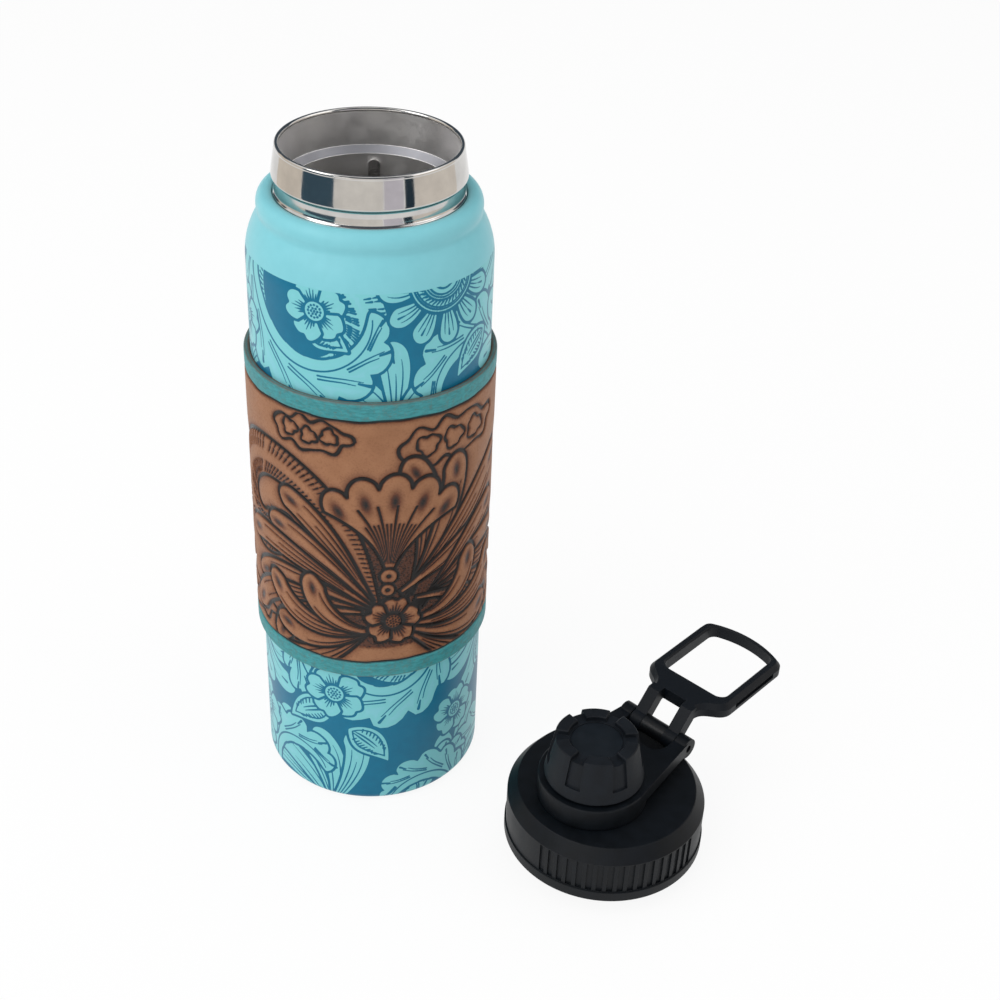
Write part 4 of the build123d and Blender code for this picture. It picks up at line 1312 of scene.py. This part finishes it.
def settle(piece: bpy.types.Object, finish: Finish, body: str, slot: str, *nodes: str) -> None:
    """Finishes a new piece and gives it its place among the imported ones.

    Args:
        piece: the piece.
        finish: what it is made of.
        body: the body that it rides on.
        slot: not used.
        *nodes: the nodes that it stands for.
    """
    piece.data.materials.append(finish.material())
    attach(piece, body)
    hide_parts(*nodes)
    LOG.info("%s rides on %s for %s", piece.name, body, ", ".join(nodes))


# The bottle

@dataclass
class Coat:
    """Outer wall of the bottle with its print.

    Sizes are in mm, and profiles are radii and heights. Under the wrap the print runs on by hidden, and the
    wall's rows stay close together by covered.
    """
    radius: float = 45.0
    foot: Profile = ((38.5, 0.6), (38.8, 0.1), (39.4, 0.0))
    foot_corner: float = 3.5
    shoulder: float = 232.0
    shoulder_radius: float = 28.0
    under_bead: Profile = ((40.482, 247.25), (40.2, 247.7), (40.05, 248.4), (40.1, 249.0))
    bead_centre: tuple[float, float] = (36.6, 251.4)
    bead_reach: float = 3.9
    bead_rise: float = 4.75
    bead_turn: tuple[float, float] = (-0.35, pi / 2 + 0.2)
    inside: Profile = ((34.95, 255.7), (34.6, 255.2), (34.6, 254.4), (37.0, 254.2), (39.0, 252.6),
                       (39.5, 248.0), (44.1, 231.0), (44.2, 210.0), (44.2, 3.6), (43.2, 1.4), (41.2, 0.85),
                       (38.5, 0.8))
    wrap_bottom: float = 69.7
    wrap_top: float = 194.8
    covered: float = 2.0
    hidden: float = 3.0
    pitch: float = 0.32
    print_top: float = 236.5
    print_pitch: float = 0.3
    print_gap: float = 1.15

    def outline(self) -> np.ndarray:
        """Works out the closed half outline.

        Returns:
            Outer profile from the foot to the bead, then the inner one back down.
        """
        corner = (self.radius - self.foot_corner, self.foot_corner)
        shoulder = (self.radius - self.shoulder_radius, self.shoulder)
        heights = np.concatenate([
            np.arange(self.foot_corner + self.pitch, self.wrap_bottom + self.covered, self.pitch),
            np.linspace(self.wrap_bottom + 2 * self.covered, self.wrap_top - 2 * self.covered, 12),
            np.arange(self.wrap_top - self.covered, self.shoulder, self.pitch)])
        turn = np.linspace(*self.bead_turn, 16)
        bead = np.stack([self.bead_centre[0] + self.bead_reach * np.cos(turn),
                         self.bead_centre[1] + self.bead_rise * np.sin(turn)], 1)
        # Rows stand closer on the first ten degrees of the shoulder, where the print ends
        printed, bare = [arc(shoulder, self.shoulder_radius, *span) for span in ((0, 10, 16), (12, 32, 12))]
        return np.concatenate([
            self.foot, arc(corner, self.foot_corner, -90, 0, 10),
            np.stack([np.full(len(heights), self.radius), heights], 1),
            printed, bare, self.under_bead, bead, self.inside])

    def printing(self) -> list[PrintSheet]:
        """Draws the print.

        Returns:
            The sheet below the wrap and the one above it.
        """
        sheets = []
        for motifs, low, high in ((LOW_PRINT, 0.0, self.wrap_bottom + self.hidden),
                                  (HIGH_PRINT, self.wrap_top - self.hidden, self.print_top)):
            sheet = PrintSheet(tau * self.radius, low, high, self.print_pitch, self.print_gap)
            paint(motifs, sheet)
            sheets.append(sheet)
        return sheets

    def build(self) -> None:
        """Builds the wall, prints it and puts it on the bottle."""
        sheets = self.printing()
        outline = self.outline()
        columns = sheets[0].columns
        turn = np.arange(columns) / columns * tau - pi / 2
        places = swing(outline[:, :1], turn, outline[:, 1:])
        light = np.full(places.shape[:2], PrintSheet.bare_level)
        for row, height in enumerate(outline[:np.argmax(outline[:, 1]), 1]):
            for sheet in sheets:
                if sheet.low <= height <= sheet.heights[-1]:
                    light[row] = sheet.at_height(height)
            if self.wrap_bottom + self.hidden < height < self.wrap_top - self.hidden:
                light[row] = PrintSheet.ground_level
            light[row] = np.maximum(light[row], height - self.print_top)
        piece = skin("printed_wall", places, True, True, {"light_ink": light})
        settle(piece, PowderCoat(), "bottle", "body_coat", "outer_shell")


@dataclass
class Wrap:
    """Leather wrap with painted borders, its edges butted at the back and laced in a shallow channel.

    Sizes are in mm. gap is the slit at the seam, pitch the distance between grid lines, and channel the
    width on each side of the seam over which the hide is skived.
    """
    inner: float = 45.05
    outer: float = 47.45
    low: float = 69.7
    high: float = 194.8
    border_low: float = 77.2
    border_high: float = 187.4
    border_line: float = 0.5
    gap: float = 0.5
    pitch: float = 0.35
    channel: float = 3.6
    channel_depth: float = 0.95
    channel_slope: float = 0.6
    channel_dye: float = 0.25
    edge_depth: float = 0.45
    edge_reach: float = 0.35
    edge_rawness: float = 0.7
    square_cut: float = 1.05
    inside_corner: tuple[float, float] = (0.5, 0.3)

    def tool(self) -> LeatherSheet:
        """Draws the carving, and the lines where the painted borders end.

        Returns:
            The tooled hide.
        """
        sheet = LeatherSheet(tau * self.outer, self.low, self.high, self.pitch)
        paint(WRAP, sheet)
        inside = np.minimum(sheet.heights - self.border_low, self.border_high - sheet.heights)
        for layer in (sheet.height, sheet.dye_and_shade, sheet.matting):
            layer *= np.clip(inside, 0, 1)[:, None]
        for start in (0, sheet.around / 2):
            x = start + np.linspace(-1.0, sheet.around / 2 + 1.0, 90)
            for height in (self.border_low, self.border_high):
                wave = height + 0.25 * np.sin(7 * x / self.outer) + 0.15 * np.sin(20 * x / self.outer)
                sheet.line(np.stack([x, wave], 1), np.full(len(x), self.border_line))
        return sheet

    def back(self) -> np.ndarray:
        """Works out the cut edges and the inside of the wrap.

        Returns:
            Radii and heights, from the upper edge down to the lower one.
        """
        cut = self.outer - self.square_cut
        across, up = self.inside_corner
        side = [(self.inner, self.high * (1 - share) + self.low * share) for share in (0.25, 0.5, 0.75)]
        upper = [(cut, self.high), (self.inner + across, self.high), (self.inner, self.high - up)]
        lower = [(self.inner, self.low + up), (self.inner + across, self.low), (cut, self.low)]
        return np.array(upper + side + lower)

    def build(self) -> None:
        """Tools the hide, bends it round the bottle, skives the channel and cuts its edges."""
        sheet = self.tool()
        # Columns start and end at the seam, half way round from the front
        order = (np.arange(sheet.columns + 1) + sheet.columns // 2) % sheet.columns
        half = pi - self.gap / 2 / self.outer
        turn = np.linspace(-half, half, sheet.columns + 1) - pi / 2
        beside = (half - np.abs(turn + pi / 2)) * self.outer
        slope = (self.channel + self.channel_slope / 2 - beside) / self.channel_slope
        skived = self.channel_depth * np.clip(slope, 0, 1)
        flat = skived < 0.01
        # The cut edges are rounded outside and square inside
        lift = np.minimum(sheet.heights - self.low, self.high - sheet.heights)[:, None]
        cut = np.exp(-(lift / self.edge_reach) ** 2)
        depth = np.where(flat, sheet.height[:, order], -skived) - self.edge_depth * cut
        # Cut by hand, so the outermost rows waver by a twentieth of a millimetre
        waver = 0.05 * np.sin(turn * 23) + 0.04 * np.sin(turn * 61 + 1)
        height = np.where(lift < self.pitch / 2, waver, 0) + sheet.heights[:, None]
        face = swing(self.outer + depth, turn, height)
        back = self.back()
        places = np.concatenate([face, swing(back[:, :1], turn, back[:, 1:])])
        border = np.maximum(sheet.heights - self.border_high, self.border_low - sheet.heights)[:, None]
        border = np.minimum(border, beside - self.channel - self.border_line)
        rawness = np.array([0.35, 0.9, 1, 1, 1, 1, 1, 0.9, 0.35])[:, None] + 0 * turn
        layers = {"dye_and_shade": (np.where(flat, sheet.dye_and_shade[:, order], self.channel_dye), 0 * rawness),
                  "matting": (np.where(flat, sheet.matting[:, order], 0), 0 * rawness),
                  "border": (border, 0 * rawness + 1),
                  "raw_edge": (self.edge_rawness * cut + 0 * turn, rawness)}
        fields = {name: np.concatenate(parts) for name, parts in layers.items()}
        piece = skin("tooled_wrap", places, False, True, fields)
        self.close(piece, *places.shape[:2])
        settle(piece, TooledLeather(), "bottle", "tooled_leather", "leather_sleeve")
        dress(WaxedThread(), "seam_thread")

    @staticmethod
    def close(piece: bpy.types.Object, rows: int, columns: int) -> None:
        """Closes the two ends of the wrap at the seam.

        Args:
            piece: the wrap.
            rows: rows of its grid.
            columns: columns of its grid.
        """
        cut = bmesh.new()
        cut.from_mesh(piece.data)
        cut.verts.ensure_lookup_table()
        cut.faces.new([cut.verts[row * columns] for row in range(rows)])
        cut.faces.new([cut.verts[row * columns + columns - 1] for row in reversed(range(rows))])
        cut.to_mesh(piece.data)
        cut.free()


@dataclass
class Neck:
    """Bare steel mouth: lipped foot, barrel, band that tapers to the rim, and rolled rim.

    Sizes are in mm, and profiles are radii and heights. The step inside the throat, whose heights follow the
    inside profile, is drawn rougher and painted grey as painted shade.
    """
    lip: Profile = ((32.3, 254.7), (34.2, 254.7), (34.45, 254.95), (34.45, 255.5), (34.3, 255.8))
    barrel: Profile = ((33.9, 256.0), (33.65, 256.4), (33.55, 257.0), (33.5, 258.5), (33.5, 260.4))
    band: Profile = ((33.6, 260.9), (33.95, 261.3), (34.5, 261.7), (34.74, 261.95), (34.8, 262.3),
                     (34.77, 262.9))
    taper: tuple[float, float] = (-1.45, 9.6)
    rim: float = 33.35
    rim_low: float = 272.55
    bore: float = 31.65
    mouth: float = 273.6
    inside: Profile = ((31.65, 272.3), (32.25, 272.25))
    matt_shaded_step: tuple[float, float] = (257.2, 259.5)
    columns: int = 320

    def outline(self) -> np.ndarray:
        """Works out the closed half outline.

        Returns:
            Radii and heights, from the foot up the outside and back down the bore.
        """
        side = self.band[-1] + np.array([[0.3], [0.65], [0.96], [1]]) * self.taper
        turn = np.linspace(0, pi, 14)
        rim = np.stack([(self.rim + self.bore) / 2 + (self.rim - self.bore) / 2 * np.cos(turn),
                        self.rim_low + (self.mouth - self.rim_low) * np.sin(turn)], 1)
        return np.concatenate([self.lip, self.barrel, self.band, side, rim, self.inside])

    def build(self) -> None:
        """Turns the neck and dresses the steel inside it."""
        outline = self.outline()
        turn = np.linspace(0, tau, self.columns, endpoint=False)
        piece = skin("polished_mouth", swing(outline[:, :1], turn, outline[:, 1:]), True, True)
        settle(piece, Steel("steel_polished"), "bottle", "polished_steel", "polished_neck")
        # The inner steel is painted lighter than the outer polished steel, as painted light for the dim
        # throat
        dress(Steel("steel_brushed", "F4F2F0", "E8E6E4", 0.34, 0.1, depth=0.008, matt_shaded_step=self.matt_shaded_step),
              "inner_vessel")
        dress(Steel("steel_pressed", "ECEAE8", "DDDBD9", 0.2, 0.08), "neck_lugs")
        dress(Steel("steel_rolled", "BBBAB8", "A4A3A2", 0.28, 0.14, 0.5, 0.01, Lay.FACE),
              "base_disc", "vacuum_seal_disc")
        dress(Steel("alloy_pressed_powder", "8D8A86", "77746F", 0.5, 0.2, 0.8, 0.02, Lay.FACE), "getter")


# The lid

@dataclass
class Lid:
    """Moulded lid parts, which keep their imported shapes; the cap's disc has a grain of its own, in mm."""
    knob_rough: float = 0.5
    disc_texture: float = 0.25

    def build(self) -> None:
        """Dresses the lid, collar, loop and cap."""
        dress(MouldedPlastic("polypropylene_moulded_matt"), "lid_cover")
        dress(MouldedPlastic("polypropylene_collar_matt"), "swivel_collar")
        dress(MouldedPlastic("polypropylene_loop_matt", "0A0F15"), "carry_loop")
        dress(MouldedPlastic("elastomer_overmould_soft", "0B1016", "131920", self.knob_rough), "cap_knob")
        dress(MouldedPlastic("abs_inlay_fine_matt", "10161C", "161D24", texture=self.disc_texture),
              "cap_disc")
        dress(MouldedPlastic("acetal_turned", "090B0E", "101317", 0.32, 0.34), "hinge_barrel")
        dress(MouldedPlastic("polypropylene_inner_parts", "17191C", "202327", 0.36),
              "cap_liner", "lid_plug", "drinking_spout")
        dress(Steel("steel_pin_drawn", "8E8F92", "77787B", 0.25, 0.1), "hinge_pin")
        dress(Silicone(), "lid_gasket", "cap_seal")


# Camera and studio

@dataclass(frozen=True)
class Camera:
    """The photograph's camera.

    Its place is in mm and its angles in radians. The focal length is in pixels of a frame of frame_width
    pixels, the sensor in mm, and the clipping distances in metres.
    """
    place: tuple[float, float, float] = (0.0, -524.0, 479.0)
    pitch: float = 0.596
    pan: float = 0.098
    roll: float = 0.049
    focal: float = 1574.0
    frame_width: float = 1000.0
    sensor: float = 36.0
    clip: tuple[float, float] = (0.01, 50.0)

    def build(self) -> None:
        """Adds the camera and makes it the scene's."""
        ahead = Vector((sin(self.pan) * cos(self.pitch), cos(self.pan) * cos(self.pitch), -sin(self.pitch)))
        right = Vector((cos(self.pan), -sin(self.pan), 0))
        up = right.cross(ahead)
        across = right * cos(self.roll) + up * sin(self.roll)
        upright = up * cos(self.roll) - right * sin(self.roll)
        lens = bpy.data.cameras.new("photo_camera")
        lens.sensor_width = self.sensor
        lens.lens = self.focal / self.frame_width * self.sensor
        lens.clip_start, lens.clip_end = self.clip
        camera = bpy.data.objects.new("photo_camera", lens)
        turn = Matrix((across, upright, -ahead)).transposed()
        camera.matrix_world = Matrix.Translation(Vector(self.place) * MM) @ turn.to_4x4()
        bpy.context.collection.objects.link(camera)
        bpy.context.scene.camera = camera


@dataclass(frozen=True)
class Lamp:
    """A soft box.

    Its place, what it faces and its size are in metres and its power in watts. mirrored says whether glossy
    surfaces mirror it.
    """
    name: str
    place: tuple[float, float, float]
    facing: tuple[float, float, float]
    size: tuple[float, float]
    power: float
    mirrored: bool = True

    def build(self) -> None:
        """Adds the lamp."""
        data = bpy.data.lights.new(self.name, "AREA")
        data.shape = "RECTANGLE"
        data.size, data.size_y = self.size
        data.energy = self.power
        lamp = bpy.data.objects.new(self.name, data)
        lamp.location = self.place
        lamp.visible_glossy = self.mirrored
        lamp.rotation_euler = (Vector(self.facing) - Vector(self.place)).to_track_quat("-Z", "Y").to_euler()
        bpy.context.collection.objects.link(lamp)


@dataclass(frozen=True)
class Card:
    """An upright card bent round the bottle, which only glossy surfaces see.

    Its bearing to the right of the camera's side and its width are in degrees. Its distance and its lower
    and upper edges are in metres.
    """
    name: str
    bearing: float
    width: float
    colour: str
    distance: float = 0.62
    low: float = 0.0
    high: float = 0.5
    bends: int = 6

    def build(self) -> None:
        """Adds the card."""
        turn = np.radians(self.bearing + np.linspace(-0.5, 0.5, self.bends + 1) * self.width)
        foot = np.stack([np.sin(turn), -np.cos(turn), 0 * turn], 1) * self.distance
        points = np.concatenate([foot + (0, 0, self.low), foot + (0, 0, self.high)])
        mesh = bpy.data.meshes.new(self.name)
        faces = [(at, at + 1, at + self.bends + 2, at + self.bends + 1) for at in range(self.bends)]
        mesh.from_pydata(points.tolist(), [], faces)
        card = bpy.data.objects.new(self.name, mesh)
        for kind in ("camera", "diffuse", "shadow", "transmission"):
            setattr(card, "visible_" + kind, False)
        mix = Recipe(self.name + "_lit")
        mix.add("OutputMaterial", {"Surface": mix.add("Emission", {"Color": self.colour})})
        mesh.materials.append(mix.material)
        bpy.context.collection.objects.link(card)
        card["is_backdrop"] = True


def seen_directly(tree: bpy.types.NodeTree) -> bpy.types.NodeSocket:
    """Tells looking from lighting.

    Args:
        tree: where the nodes go.

    Returns:
        A socket that is 1 where the camera looks, straight, by a mirror or through glass, and 0 elsewhere.
    """
    rays = add_node(tree, "LightPath", {}).node.outputs
    seen = add_node(tree, "Math", {0: rays["Is Camera Ray"], 1: rays["Is Glossy Ray"]}, operation="MAXIMUM")
    return add_node(tree, "Math", {0: seen, 1: rays["Is Transmission Ray"]}, operation="MAXIMUM")


@dataclass
class Studio:
    """White sweep, large soft boxes, and the cards that the polished steel mirrors; sizes are in metres."""
    floor_size: float = 6.0
    floor_drop: float = 0.0002
    floor_colour: str = "F4F4F4"
    floor_glow: float = 0.9
    world_level: float = 0.43
    lamps: tuple[Lamp, ...] = (
        Lamp("key_box", (-1.3, -1.0, 1.4), (0.03, 0, 0.12), (2.0, 2.0), 29),
        Lamp("fill_box", (1.6, -0.6, 0.9), (0.03, 0, 0.1), (1.4, 1.8), 7.5),
        Lamp("top_box", (0.0, 0.3, 1.9), (0.03, 0, 0.1), (2.4, 2.0), 13, False))
    cards: tuple[Card, ...] = (
        Card("card_dark_wide", -61, 41, "435A69"),
        Card("card_dark_narrow", 44, 11, "2A3A46"),
        Card("card_lilac", 26, 22, "DAD6DF"),
        Card("card_beige_middle", -13, 54, "F0ECE6"),
        Card("card_beige_left", -106, 48, "EAE0D3"),
        Card("card_beige_right", 82, 64, "EEE6DC"),
        Card("card_front_high", 0, 110, "5C6068", 0.5, 0.5, 2.6),
        Card("card_back", 180, 120, "4C5660", 1.0, 0.36, 2.4))

    def build(self) -> None:
        """Sets the view, the world, the floor, the lamps and the cards."""
        scene = bpy.context.scene
        scene.view_settings.view_transform = "Standard"
        self.light(scene)
        self.floor()
        for thing in self.lamps + self.cards:
            thing.build()

    def light(self, scene: bpy.types.Scene) -> None:
        """Adds a world that is white where it is seen or mirrored, and softer where it lights.

        Args:
            scene: what it goes in.
        """
        world = bpy.data.worlds.new("studio_white")
        world.use_nodes = True
        world.node_tree.nodes.clear()
        add = partial(add_node, world.node_tree)
        seen = seen_directly(world.node_tree)
        level = add("MapRange", {"Value": seen, "To Min": self.world_level, "To Max": 1.0})
        add("OutputWorld", {"Surface": add("Background", {"Color": (1, 1, 1, 1), "Strength": level})})
        scene.world = world

    def floor(self) -> None:
        """Adds a pale floor that glows white to the camera and still takes the object's shadow."""
        half = self.floor_size / 2
        corners = [(-half, -half, 0), (half, -half, 0), (half, half, 0), (-half, half, 0)]
        mesh = bpy.data.meshes.new("floor")
        mesh.from_pydata(corners, [], [(0, 1, 2, 3)])
        floor = bpy.data.objects.new("floor", mesh)
        floor.location.z = -self.floor_drop
        bpy.context.collection.objects.link(floor)
        mix = Recipe("floor_white_paper")
        seen = seen_directly(mix.material.node_tree)
        glowing = mix.add("Math", {0: seen, 1: self.floor_glow}, operation="MULTIPLY")
        paper = mix.add("BsdfDiffuse", {"Color": self.floor_colour})
        glow = mix.add("Emission", {"Color": (1, 1, 1, 1), "Strength": 1.0})
        mix.add("OutputMaterial", {"Surface": mix.add("MixShader", {0: glowing, 1: paper, 2: glow})})
        mesh.materials.append(mix.material)
        floor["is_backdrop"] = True


def keep_sizes(sizes: dict[str, list], name: str) -> None:
    """Adds the object's present box to the sizes.

    Args:
        sizes: the boxes so far, by name.
        name: what this one is called.
    """
    low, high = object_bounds()
    sizes[name] = [list(low), list(high)]


def main() -> None:
    """Builds everything in order."""
    logging.basicConfig(level=logging.INFO, format="%(name)s: %(message)s")
    sizes: dict[str, list] = {}
    keep_sizes(sizes, "cad")
    for part in (Coat(), Wrap(), Neck(), Lid(), Studio(), Camera()):
        part.build()
    keep_sizes(sizes, "visual")


if __name__ == "__main__":
    main()
